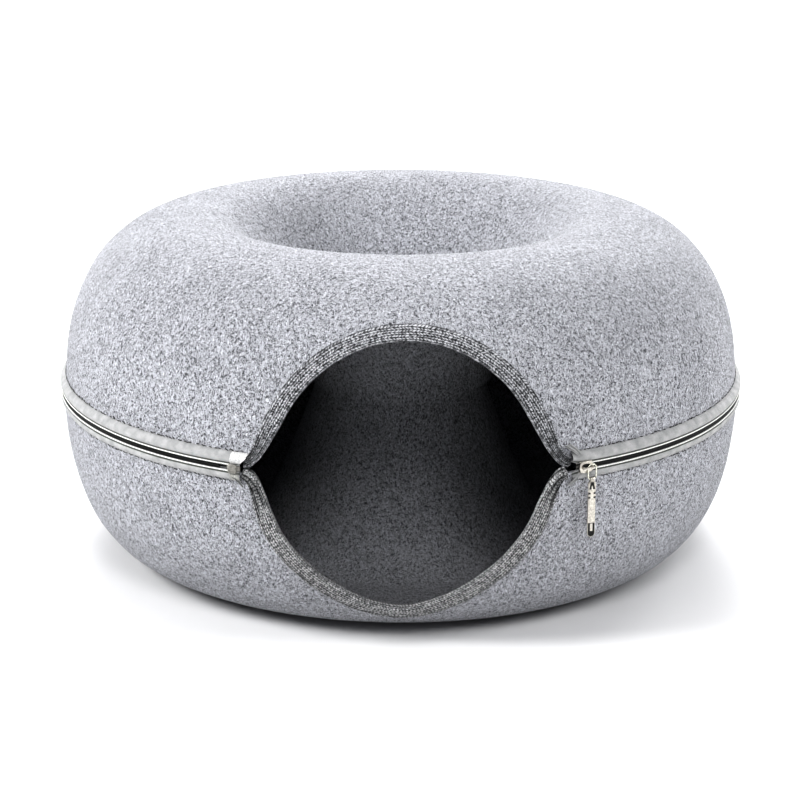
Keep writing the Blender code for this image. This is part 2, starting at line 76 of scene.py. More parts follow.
# The felt's cut edge in the front view, right-hand side, from the middle of the arch.
DOOR = {
    "upper": [dict(at=(0.0, 0.0867), back=None, ahead=(0.0340, 0.0)),
              dict(at=(0.0792, 0.0370), back=(-0.0150, 0.0300), ahead=(0.0112, -0.0192)),
              dict(at=(0.1050, 0.0018), back=(-0.0085, 0.0024), ahead=None)],
    "lower": [dict(at=(0.0, 0.0983), back=None, ahead=(0.0240, 0.0)),
              dict(at=(0.0835, 0.0360), back=(-0.0136, 0.0312), ahead=(0.0086, -0.0183)),
              dict(at=(0.1038, 0.0018), back=(-0.0085, 0.0022), ahead=None)],
}
DOOR_LEAN = {"upper": (0.0, 0.0), "lower": (-0.0010, -0.0035)}
DOOR_STEPS = 48             # points on each curve of the cut
DOOR_DEPTH = (0.120, 0.300)

BINDING = 0.0106            # width of each leg of the folded tape
BINDING_TAPE = 0.0010       # its thickness
BINDING_TUCK = 0.52         # share of the width left at the corners, where it is gathered
TUCK_LENGTH = 0.040
INSIDE_GAP = 0.0008
BINDING_STEP = 0.00045      # spacing of the modelled weave along the tape
OUTER_ROWS, NOSE_ROWS, INNER_ROWS = 30, 12, 16
FOLD = 0.0075               # tape taken up by the fold round the felt
END_ROUND = 0.0016          # the gathered ends are closed by a round of this reach
END_STEPS = 5
# The twill is a herringbone: rows of short floats along the tape, slanted to and fro by turns.
TWILL_PITCH = 0.0017        # from row to row
TWILL_FLOAT = 0.0022        # length of a float
TWILL_SLANT = 1.1           # how far a float leans for each millimetre across the tape
TWILL_RELIEF = 0.0003       # height of the floats
TWILL_WANDER = (0.00028, 0.00018)      # how far the yarns stray along and across the tape
PLEAT_PITCH, PLEAT_RISE = 0.0024, 0.0008
# Dark lines along the tape's sewn edge, darkened with the creases: distance from the edge, and how dark.
SEWN_LINES = {"upper": [(0.0008, 0.5)], "lower": [(0.0009, 0.9), (0.0025, 0.7)]}
FOLD_SHADE = {"upper": 0.0, "lower": 0.20}      # the fold is drawn darker on the lower tape
CREASE_SHADE = 0.32         # how much darker the weave is painted in a crease, as shade
SEWN_WIDTH, SEWN_DRIFT = 0.00030, 0.0003       # a dark line: half width, and how it strays
SLACK = (0.0001, 0.00006)   # two waves of slack in the folded tape

ZIP_END = math.radians(25.7)
# Loose tape ends: angle in degrees and height where each starts and ends, its two widths in
# degrees, and its two lifts off the felt.
TAPE_TAILS = {
    "upper": [((27.0, 0.0068), (24.9, 0.0158), (0.7, 1.2), (0.0036, 0.0019))],
    "lower": [((26.9, 0.0030), (25.1, 0.0112), (0.7, 0.8), (0.0020, 0.0018)),
              ((-27.2, 0.0052), (-25.4, 0.0116), (1.0, 0.4), (0.0022, 0.0018))],
}
TAPE_UNDER = 0.0008         # how far its sewn edge is tucked in
TAPE_BACK = (0.0003, 0.0012)           # how its other edge turns in beside the coil: height, depth
PUFF_OUT, PUFF_SIDE, PUFF_REACH = 0.00028, 0.00022, 0.0018     # puffs between the stitches
TAPE_SLACK, SLACK_REACH = (0.00012, 0.0001), 0.008
PARTED_NEAR = 0.0045        # how near the coil the tapes part
TAIL_STEPS, TAIL_BOW = (16, 7), 0.35   # grid of a loose tape end, and its bow in degrees
TAIL_SPREAD, TAIL_CURL = 0.0012, 0.0007
TAIL_WEAVE = (0.0060, 0.004)           # the part of the tape's weave that a loose end shows
COIL_INNER, COIL_OUTER = 0.2474, 0.2491
COIL_HALF = 0.0016
TAPE_FACE = {
    "upper": [(0.0104, 0.2460), (0.0092, 0.2480), (0.0074, 0.2493), (0.0056, 0.2500),
              (0.0040, 0.2496), (0.0031, 0.2488), (0.0025, 0.2493), (0.0019, 0.2492)],
    "lower": [(0.0086, 0.2479), (0.0074, 0.2490), (0.0058, 0.2496), (0.0045, 0.2496),
              (0.0036, 0.2492), (0.0030, 0.2488), (0.0025, 0.2493), (0.0019, 0.2492)],
}
TOOTH_PITCH = 0.0013
TOOTH = (0.00072, 0.0016, 0.00195)     # along the zip, through, and from the middle outward
TEETH_IN_RUN = 29
TAPE_STEPS = 1640
PARTED_TURN, PARTED_SINK, PARTED_RISE = math.radians(1.7), 0.0026, 0.0022
RIBS = (0.0019, 0.0033)     # the ribbed strip painted dark as shade, from the tape's edge beside the coil
RIB_PITCH = 0.0008
CORD_HEIGHT, CORD_RADIUS, CORD_THICK = 0.00215, 0.24915, 0.00060   # the white cord beside the coil
CORD_SIDES, BEAD_PITCH, BEADS_IN_RUN, RINGS_IN_BEAD = 6, 0.0013, 12, 4
# The stitches are drawn longer and darker than thread, as painted shadow along the seam.
STITCH_PITCH, STITCH_LENGTH, STITCH_THICK = 0.0033, 0.0026, 0.0008
STITCH_PLACE = {"upper": (0.0105, 0.2462), "lower": (0.0089, 0.2478)}
STITCH_STRAY, STITCH_LIFT, STITCH_SLANT = 0.2, 0.0003, 0.2     # spread of place, height and slant
STITCH_SCALE = (0.7, 1.35)
CORD_MERGE, CAP_MERGE = 2e-5, 2e-6
BEAD_WAIST = 0.62           # the cord's thickness between two beads, as a share
TOOTH_ROUND, HEAD_PROUD = 0.0003, 0.0002
CORE_SUNK, CORE_HEIGHT, CORE_THICK, CORE_STEPS = 0.0003, 0.0009, 0.0006, 420
FILM_START = math.radians(-27.3)
FILM_LIFT = 0.00035
FILM_THICK, FILM_STEPS = 0.0002, 40
FILM_RAG, FILM_START_RAG = 0.0004, 0.0003      # raggedness of its torn and its other edge
FILM_CURL, FILM_CREASE = 0.00025, 0.00012
# The film's torn edge: height from the zip, and angle in degrees, from the zip to the seam.
FILM_TORN = {"upper": [(0.0015, -25.9), (0.0037, -25.6), (0.0054, -25.1), (0.0084, -24.6),
                       (0.0110, -24.4)],
             "lower": [(0.0015, -26.1), (0.0040, -26.0), (0.0060, -25.8), (0.0090, -25.6)]}
SLIDER_ANGLE = math.radians(27.9)
BOX_ANGLE = math.radians(-26.8)
BOX_CAP = (0.0076, 0.0019, 0.0072)    # end box: along the zip, outward, upward
BOX_FACE = 0.2497
BOX_ROUND, BOX_CORNER = 0.0009, 0.24   # rounding of its edges, and how far its corners are cut in
BOX_SLOT, BOX_SLOT_PLACE = (0.0050, 0.0005, 0.0006), (0.0006, 0.0013)
BOX_STEM, BOX_STEM_DEPTH = (0.0092, 0.0022, 0.0034), 0.0010

# Slider, link and tab, in the slider's frame: x along the zip, y towards the axis, z up.
PLATE_FACE = 0.2502
PLATE = (0.0110, 0.0012, 0.0092)
PLATE_ROUND, PLATE_TAPER = 0.0004, 0.28        # rounding, and how far it narrows at its tail
OUTLINE_STEPS, OUTLINE_POWER = 40, 0.8         # points of a rounded outline, and its squareness
HOLLOW, HOLLOW_X, HOLLOW_Z, HOLLOW_DEEP = (0.0034, 0.0020), -0.0006, 0.0006, 0.0007
HOLLOW_TAPER = 0.15
FLANGE, FLANGE_PLACE = (0.0098, 0.0016, 0.0007), (-0.0004, 0.0006, 0.0034)
FLANGE_ROUND, KEEL_ROUND, EDGE_ROUND = 0.00025, 0.0003, 0.0002
KEEL_FACE = 0.2462
KEEL = (0.0100, 0.0010, 0.0062)
POST = (0.0020, 0.0044, 0.0024)
POST_X = -0.0040
BAIL_HALF, BAIL_RISE = 0.0040, 0.0034
BAIL_BAR = (0.0010, 0.0016)
BAIL_SUNK, BAIL_ROUNDS = 0.0003, (0.0016, 0.0007)      # its foot in the plate, its two corner rounds
LINK_WIRE = 0.0011
LINK_HALF = (0.0031, 0.0051)
LINK_CORNER = 0.0025
LINK_X = 0.0034
LINK_BUTT, BUTT_WIDTH = 0.0010, 0.00012        # height of the wire's butt, and its width and rise
EYE_HOLE, EYE_OUTER, EYE_WIDTH = 0.00085, 0.0016, 0.0030
TAB = (0.0053, 0.0014, 0.0397)
TAB_SHOULDER = 0.0012
TAB_ROUND, TAB_NECK = 0.00028, 0.00035         # rounding, and how far the neck is drawn in
TAB_BEADS, BEAD_REACH = (-0.0080, -0.0110), (0.0016, 0.0012)
BEAD_PROUD, BEAD_TALL, BEAD_ROUND = (0.0002, 0.0004), 0.0016, 0.0005
SPIKE_WIDE, SPIKE_SHARE = 0.0010, 0.50
NICK, NICK_X = (0.0014, 0.0012), 0.0018
EYE_SIDES = 28
TAB_NICKS = (-0.0095, -0.0124)
TAB_WINDOW = ((0.0018, 0.0009), (0.0067, 0.0021))
TAB_SWIVEL = math.radians(-10)          # the tab has turned on its link, to face the front
TAB_TIP = (0.0300, 0.0393, 0.0023)
TAB_ISLAND = (0.0019, 0.0052)
INLAY = 0.00012             # how far the dark plates of painted shade, and the island on them, stand proud

CAMERA_DISTANCE = 1.7
CAMERA_DOWN, CAMERA_TURN, CAMERA_ROLL = math.radians(16.6), math.radians(-1.0), math.radians(0.17)
PHOTO_SIDE, SENSOR = 800, 36.0
FOCAL_PIXELS = 2281.0       # focal length in pixels of the photograph
AIM_DROP, AIM_LEFT = 0.0204, 0.58 / 2281.0      # where it looks, below the zip and to the left

# Soft boxes round the table: name, place, where it aims, size across in metres, power in watts.
TABLE = (0.0, 0.0, 0.1)
LIGHTS = [("softbox_left", (-2.2, -0.6, 1.7), TABLE, 1.2, 80.0),
          ("softbox_above", (0.0, 0.4, 2.8), TABLE, 2.0, 21.0),
          ("softbox_front", (0.3, -2.4, 2.4), TABLE, 1.2, 37.0),
          ("softbox_right", (2.2, -0.6, 1.4), TABLE, 1.2, 32.0),
          ("softbox_behind", (0.0, 2.2, 2.2), TABLE, 1.6, 50.0),
          ("softbox_right_behind", (1.7, 2.4, 1.0), TABLE, 1.2, 42.0),
          ("softbox_backdrop", (0.0, 5.5, 3.0), (0.0, 3.96, 0.1), 4.0, 260.0),
          # These three light the far floor for the other views, and turn their backs on the table.
          ("softbox_far_front", (0.0, -5.5, 3.0), (0.0, -8.2, 0.1), 4.0, 300.0),
          ("softbox_far_left", (-5.5, 0.0, 3.0), (-8.2, 0.0, 0.1), 4.0, 300.0),
          ("softbox_far_right", (5.5, 0.0, 3.0), (8.2, 0.0, 0.1), 4.0, 300.0)]
AIR_LIGHT, AIR_COLOUR = 0.33, "F8F9FF"      # even light from all round, a little cool
FLOOR_RADIUS, FLOOR_SIDES, FLOOR_COLOUR = 9.0, 96, "E3E3E3"
PRINT_GAMMA = 0.75          # the photograph is printed with more contrast than a plain exposure

RANDOM = np.random.default_rng(7)


# ---------------------------------------------------------------- making and finishing pieces

def deselect():
    if bpy.context.mode != "OBJECT":
        bpy.ops.object.mode_set(mode="OBJECT")
    bpy.ops.object.select_all(action="DESELECT")


def named(name):
    """Names the object that an operator has just added."""
    piece = bpy.context.object
    piece.name = piece.data.name = name
    return piece


def pick(piece):
    """Makes a piece the only selected and active object."""
    deselect()
    piece.select_set(True)
    bpy.context.view_layer.objects.active = piece


def modify(piece, kind, **settings):
    """Adds a modifier and applies it."""
    pick(piece)
    step = piece.modifiers.new(kind.title(), kind)
    for name, value in settings.items():
        setattr(step, name, value)
    bpy.ops.object.modifier_apply(modifier=step.name)


def open_for_editing(piece):
    """Opens a piece in edit mode, with all of it selected."""
    pick(piece)
    bpy.ops.object.mode_set(mode="EDIT")
    bpy.ops.mesh.select_all(action="SELECT")


def tidy_normals(piece, merge=MERGE):
    """Merges doubles and turns all faces outward."""
    open_for_editing(piece)
    bpy.ops.mesh.remove_doubles(threshold=merge)
    bpy.ops.mesh.normals_make_consistent(inside=False)
    bpy.ops.object.mode_set(mode="OBJECT")


def cut_out(piece, tool, keep_tool=False):
    """Takes the tool's shape out of a piece."""
    modify(piece, "BOOLEAN", object=tool, operation="DIFFERENCE", solver="EXACT")
    if not keep_tool:
        bpy.data.objects.remove(tool)


def smooth(piece, degrees):
    pick(piece)
    bpy.ops.object.shade_smooth_by_angle(angle=math.radians(degrees))


def settle(piece):
    """Applies the piece's place, so that its object sits at the origin."""
    pick(piece)
    bpy.ops.object.transform_apply(location=True, rotation=True, scale=True)


def get_points(piece):
    flat = np.empty(len(piece.data.vertices) * 3)
    piece.data.vertices.foreach_get("co", flat)
    return flat.reshape(-1, 3)


def set_points(piece, points):
    piece.data.vertices.foreach_set("co", np.ascontiguousarray(points, dtype=float).ravel())
    piece.data.update()


def cloth(name, places, lengths=None):
    """A sheet: a grid whose points are moved to rows x columns of places, with its UV map in metres.

    lengths holds the distance along (u) and across (v) of each point.
    """
    rows, cols = places.shape[:2]
    deselect()
    bpy.ops.mesh.primitive_grid_add(x_subdivisions=cols - 1, y_subdivisions=rows - 1, size=1.0)
    piece = named(name)
    set_points(piece, places.reshape(-1, 3))
    if lengths is not None:
        corner = np.empty(len(piece.data.loops), dtype=np.int32)
        piece.data.loops.foreach_get("vertex_index", corner)
        uv = lengths.reshape(-1, 2)[corner]
        piece.data.uv_layers.active.data.foreach_set("uv", np.ascontiguousarray(uv).ravel())
    return piece


def normals_of(places):
    """Unit normals of a grid of places, on the side that the grid's faces show."""
    down, along = np.gradient(places, axis=0), np.gradient(places, axis=1)
    square = np.cross(along, down)
    return square / np.maximum(np.linalg.norm(square, axis=2, keepdims=True), 1e-12)


def repeated(name, model, places):
    """Copies of a small model, each with its own mesh, at each place, joined to one piece."""
    copies = []
    for place in places:
        twin = model.copy()
        twin.data = model.data.copy()
        twin.matrix_world = place
        bpy.context.scene.collection.objects.link(twin)
        copies.append(twin)
    bpy.data.objects.remove(model)
    piece = join(copies, name)
    settle(piece)
    return piece


def join(pieces, name=None):
    """Joins loose pieces into the first, under a new name where one is given."""
    deselect()
    for piece in pieces:
        piece.select_set(True)
    bpy.context.view_layer.objects.active = pieces[0]
    bpy.ops.object.join()
    if name:
        pieces[0].name = pieces[0].data.name = name
    return pieces[0]


def slab(name, outline, thick, start=None):
    """A plate along Y: an outline in x and z, from a filled circle, extruded by its thickness.

    It lies evenly about y = 0, unless the place where it starts is given.
    """
    start = -thick / 2 if start is None else start
    deselect()
    bpy.ops.mesh.primitive_circle_add(vertices=len(outline), radius=0.01, fill_type="NGON")
    piece = named(name)
    set_points(piece, [(x, start, z) for x, z in outline])
    open_for_editing(piece)
    bpy.ops.mesh.extrude_region_move(TRANSFORM_OT_translate={"value": (0.0, thick, 0.0)})
    bpy.ops.mesh.select_all(action="SELECT")
    bpy.ops.mesh.normals_make_consistent(inside=False)
    bpy.ops.object.mode_set(mode="OBJECT")
    return piece


def block(name, size, centre, bevel, segments=2):
    """A block with rounded edges."""
    deselect()
    bpy.ops.mesh.primitive_cube_add(size=1.0, location=centre)
    piece = named(name)
    piece.scale = size
    settle(piece)
    modify(piece, "BEVEL", width=bevel, segments=segments, limit_method="NONE")
    return piece


def finish_piece(piece, node, material, degrees):
    """Smoothing, material, the body it rides on, and hiding the model's node that it stands for."""
    smooth(piece, degrees)
    piece.data.materials.clear()
    piece.data.materials.append(material)
    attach(piece, "root")
    if node:
        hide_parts(node)
    return piece


# ---------------------------------------------------------------- shapes shared with the solids

def distance_along(points):
    """Each point's distance along a polyline, from its first point."""
    return np.r_[0.0, np.cumsum(np.linalg.norm(np.diff(points, axis=0), axis=1))]


def resample(points, count):
    """Evenly spaced points along a dense polyline, both ends kept."""
    points = np.asarray(points)
    along = distance_along(points)
    stops = np.linspace(0.0, along[-1], count)
    return np.stack([np.interp(stops, along, points[:, k]) for k in range(points.shape[1])], axis=1)


def grid_lengths(along, across):
    """Distances along and across a cloth for each point of its grid."""
    return np.stack(np.broadcast_arrays(along, across), axis=2)


def bezier(start, start_handle, end_handle, end, steps):
    """Points on a cubic curve, without its last point. Handles are relative to their ends."""
    start, end = np.array(start), np.array(end)
    first, second = start + start_handle, end + end_handle
    t = np.linspace(0.0, 1.0, steps, endpoint=False)[:, None]
    return ((1 - t) ** 3 * start + 3 * t * (1 - t) ** 2 * first
            + 3 * t ** 2 * (1 - t) * second + t ** 3 * end)


def wall_radius(half, z):
    """Radius of the felt's outer face on the wall, at a height from the zip."""
    share = np.clip(np.abs(z) / ZIP_HEIGHT, 0.0, 1.0)
    power = (1 - share ** half["wall_m"]) ** (1 / half["wall_n"])
    return half["crown"] + (half["wall"] - half["crown"]) * power


def inner_wall_radius(half, z):
    """Radius of the felt's inner face on the wall, at a height from the zip."""
    above = wall_radius(half, np.abs(z) + PROBE / 2)
    below = wall_radius(half, np.maximum(np.abs(z) - PROBE / 2, 0.0))
    lean = np.arctan((below - above) / PROBE)
    level = np.abs(z) + FELT * np.sin(lean)
    return wall_radius(half, level) - FELT * np.cos(lean)


def felt_section(half):
    """The closed section of one half, z up: the outer face, then back along the inner face."""
    h, flare = ZIP_HEIGHT, half["flare_z"]
    turn = np.linspace(0.0, math.pi / 2, DENSE_POINTS)
    low = np.sin(turn) ** (2 / half["wall_m"]) * h
    wall = np.stack([half["crown"] + (half["wall"] - half["crown"])
                     * np.cos(turn) ** (2 / half["wall_n"]), low], axis=1)
    back = turn[::-1]
    brow = np.stack([half["brow"] - (half["brow"] - half["neck"])
                     * np.cos(back) ** (2 / half["brow_n"]),
                     flare + (h - flare) * np.sin(back) ** (2 / half["brow_m"])], axis=1)
    wall = resample(wall[wall[:, 1] >= FELT_EDGE], WALL_POINTS)
    brow = resample(brow, BROW_POINTS)
    collar = np.linspace(brow[-1], (half["neck"], -half["lap"]), COLLAR_POINTS)[1:]
    outer = np.vstack([wall, brow[1:] if np.allclose(wall[-1], brow[0]) else brow, collar])
    edge = np.diff(outer, axis=0)
    edge /= np.linalg.norm(edge, axis=1)[:, None]
    mean = np.vstack([[0.0, 1.0], edge[:-1] + edge[1:], [0.0, -1.0]])
    mean /= np.linalg.norm(mean, axis=1)[:, None]
    inward = np.stack([-mean[:, 1], mean[:, 0]], axis=1)
    inner = outer + inward * FELT
    # The wool bulges a little at the two cut edges.
    start = (outer[0] + inner[0]) / 2 - (0.0, FELT / 6)
    finish = (outer[-1] + inner[-1]) / 2 - (0.0, FELT / 6)
    return np.vstack([[start], outer, [finish], inner[::-1]])


def door_edge(key):
    """The whole cut edge of one half, from the left-hand corner to the right-hand one."""
    rows = DOOR[key]
    parts = [bezier(near["at"], near["ahead"], far["back"], far["at"], DOOR_STEPS)
             for near, far in zip(rows, rows[1:])]
    right = np.vstack(parts + [[rows[-1]["at"]]])
    edge = np.vstack([right[:0:-1] * (-1.0, 1.0), right])
    corner, middle = DOOR_LEAN[key]
    edge[:, 0] += middle + (corner - middle) * (1 - edge[:, 1] / right[0, 1]) ** 2
    return edge * (1.0, SIDE[key])


def front_depth(half, x, z, inside):
    """How far in front of the axis the felt's outer or inner face lies, at a front-view place."""
    radius = inner_wall_radius(half, z) if inside else wall_radius(half, z)
    return np.sqrt(radius ** 2 - x ** 2)


def heading(angle):
    """Turns an angle from the doorway's middle, positive to the right, into one from +X."""
    return angle - math.pi / 2


def on_ring(angle, radius, z):
    """A place on the ring: z is from the middle of the zip."""
    turned = heading(angle)
    return np.stack(np.broadcast_arrays(radius * np.cos(turned), AXIS_Y + radius * np.sin(turned),
                                        ZIP_HEIGHT + z), axis=-1)


def turned_outward(angle):
    """The rotation that turns a piece of the ring's local frame outward at an angle."""
    return Matrix.Rotation(heading(angle) + math.pi / 2, 4, "Z")


def set_on_ring(piece, angle, radius):
    """Moves a piece modelled in the ring's local frame to its place."""
    piece.matrix_world = Matrix.Translation(Vector(on_ring(angle, radius, 0.0))) @ turned_outward(angle)
    settle(piece)


def round_the_hole(turn, count):
    """Places that copy a run round the hole's axis, each one turn further."""
    axis = Matrix.Translation((0.0, AXIS_Y, 0.0))
    return [axis @ Matrix.Rotation(k * turn, 4, "Z") @ axis.inverted() for k in range(count)]


def door_stations(key, step):
    """Stations along the cut edge: places, distance along, and direction away from the doorway."""
    dense = door_edge(key)
    length = np.linalg.norm(np.diff(dense, axis=0), axis=1).sum()
    count = int(round(length / step)) + 1
    edge = resample(dense, count)
    along = np.linspace(0.0, length, count)
    tangent = np.gradient(edge, along, axis=0)
    tangent /= np.linalg.norm(tangent, axis=1)[:, None]
    away = np.stack([-tangent[:, 1], tangent[:, 0]], axis=1) * SIDE[key]
    return edge, along, away


def by_door(key, edge, away, distance, inside, lift):
    """Places at a distance from the cut edge, lifted off the felt's outer or inner face."""
    half = HALVES[key]
    base = front_depth(half, edge[:, 0], edge[:, 1], inside)
    probe = edge + away * PROBE
    lean = (front_depth(half, probe[:, 0], probe[:, 1], inside) - base) / PROBE
    x, z = (edge + away * (distance / np.sqrt(1 + lean ** 2))[:, None]).T
    depth = front_depth(half, x, z, inside)
    across = (front_depth(half, x + PROBE, z, inside) - depth) / PROBE
    upward = (front_depth(half, x, z + PROBE * SIDE[key], inside) - depth) / PROBE
    reach = lift * np.sqrt(1 + across ** 2 + upward ** 2)
    depth = depth - reach if inside else depth + reach
    return np.stack([x, AXIS_Y - depth, ZIP_HEIGHT + z], axis=1)


# ---------------------------------------------------------------- materials

def linear(colour):
    """A linear RGBA colour from an sRGB hex string."""
    parts = [int(colour[k:k + 2], 16) / 255 for k in (0, 2, 4)]
    return (*[c / 12.92 if c <= 0.04045 else ((c + 0.055) / 1.055) ** 2.4 for c in parts], 1.0)


def add_node(tree, kind, values=None, links=None, **settings):
    """Adds a node: its own settings, its sockets' values, and the outputs that feed its sockets."""
    made = tree.nodes.new(kind)
    for name, value in settings.items():
        setattr(made, name, value)
    for name, value in (values or {}).items():
        made.inputs[name].default_value = value
    for name, source in (links or {}).items():
        tree.links.new(source, made.inputs[name])
    return made


def new_material(name, **shader_values):
    """A material with its Principled shader, whose constant sockets are set here."""
    made = bpy.data.materials.new(name)
    made.use_nodes = True
    tree = made.node_tree
    tree.nodes.clear()
    values = {key.replace("_", " "): value for key, value in shader_values.items()}
    shader = add_node(tree, "ShaderNodeBsdfPrincipled", values)
    add_node(tree, "ShaderNodeOutputMaterial", links={"Surface": shader.outputs["BSDF"]})
    return made, tree, shader


def needle_felt():
    """Needle felt of light and dark grey wool: matt, light-scattering, full of short curled fibres.

    A fibre is 0.03 mm thick, which is too fine to show, so locks of a few fibres are drawn. They are
    the contours of a noise field with cells of about 1.1 mm, which curl as matted wool does.
    """
    made, tree, shader = new_material("needle_felt_wool", Roughness=0.96, Specular_IOR_Level=0.18,
                                      Sheen_Weight=0.20, Sheen_Roughness=0.6)
    place = add_node(tree, "ShaderNodeTexCoord").outputs["Object"]
    # Fibres are much longer than thick, so the two fields are stretched, each its own way.
    along = add_node(tree, "ShaderNodeMapping", {"Rotation": (0.6, 0.8, 0.3), "Scale": (1.0, 1.0, 0.45)},
                     {"Vector": place})
    aside = add_node(tree, "ShaderNodeMapping", {"Location": (0.3, 0.7, 0.1),
                                                 "Rotation": (-0.7, 0.5, 1.2),
                                                 "Scale": (1.0, 1.0, 0.5)}, {"Vector": place})
    # Clouds of 35 mm and tufts of 2 mm, where the wool's shades are carded together.
    clouds = add_node(tree, "ShaderNodeTexNoise", {"Scale": 28.0, "Detail": 2.0}, {"Vector": place})
    tufts = add_node(tree, "ShaderNodeTexNoise", {"Scale": 500.0, "Detail": 2.0, "Roughness": 0.6},
                     {"Vector": place})
    # Light locks, and the dark gaps and fibres between them, about 1 mm apart.
    locks = []
    for spread, scale, reach in ((along.outputs["Vector"], 900.0, 0.090),
                                 (aside.outputs["Vector"], 950.0, 0.120)):
        field = add_node(tree, "ShaderNodeTexNoise",
                         {"Scale": scale, "Detail": 0.0, "Distortion": 1.3}, {"Vector": spread})
        off = add_node(tree, "ShaderNodeMath", {1: 0.5}, {0: field.outputs["Fac"]},
                       operation="SUBTRACT")
        away = add_node(tree, "ShaderNodeMath", links={0: off.outputs[0]}, operation="ABSOLUTE")
        lock = add_node(tree, "ShaderNodeMapRange", {"From Min": 0.0, "From Max": reach,
                                                     "To Min": 1.0, "To Max": 0.0},
                        {"Value": away.outputs[0]}, interpolation_type="SMOOTHSTEP")
        locks.append(lock.outputs["Result"])
    light_lock, dark_lock = locks
    # Dark fibres show where the tufts are thin, which cuts them short.
    thin = add_node(tree, "ShaderNodeMapRange", {"From Min": 0.62, "From Max": 0.36,
                                                 "To Min": 0.15, "To Max": 1.0},
                    {"Value": tufts.outputs["Fac"]})
    short_lock = add_node(tree, "ShaderNodeMath", links={0: dark_lock, 1: thin.outputs["Result"]},
                          operation="MULTIPLY")
    cloud_shade = add_node(tree, "ShaderNodeMath", {1: 0.24, 2: 0.36}, {0: clouds.outputs["Fac"]},
                           operation="MULTIPLY_ADD")
    shade = add_node(tree, "ShaderNodeMath", {1: 0.24},
                     {0: tufts.outputs["Fac"], 2: cloud_shade.outputs[0]}, operation="MULTIPLY_ADD")
    lighter = add_node(tree, "ShaderNodeMath", {1: 0.95}, {0: light_lock, 2: shade.outputs[0]},
                       operation="MULTIPLY_ADD")
    darker = add_node(tree, "ShaderNodeMath", {1: -1.50},
                      {0: short_lock.outputs[0], 2: lighter.outputs[0]}, operation="MULTIPLY_ADD")
    ramp = add_node(tree, "ShaderNodeValToRGB", links={"Fac": darker.outputs[0]})
    fill_ramp(ramp.color_ramp, ((0.0, "38393D"), (0.25, "737479"), (0.5, "B0B1B7"), (1.0, "E0E1E6")))
    tree.links.new(ramp.outputs["Color"], shader.inputs["Base Color"])
    bump = add_node(tree, "ShaderNodeBump", {"Strength": 0.8, "Distance": 0.0005},
                    {"Height": darker.outputs[0]})
    tree.links.new(bump.outputs["Normal"], shader.inputs["Normal"])
    return made


def fill_ramp(ramp, shades):
    """Sets a colour ramp's stops: place and sRGB hex colour."""
    while len(ramp.elements) < len(shades):
        ramp.elements.new(1.0)
    for stop, (place, colour) in zip(ramp.elements, shades):
        stop.position = place
        stop.color = linear(colour)


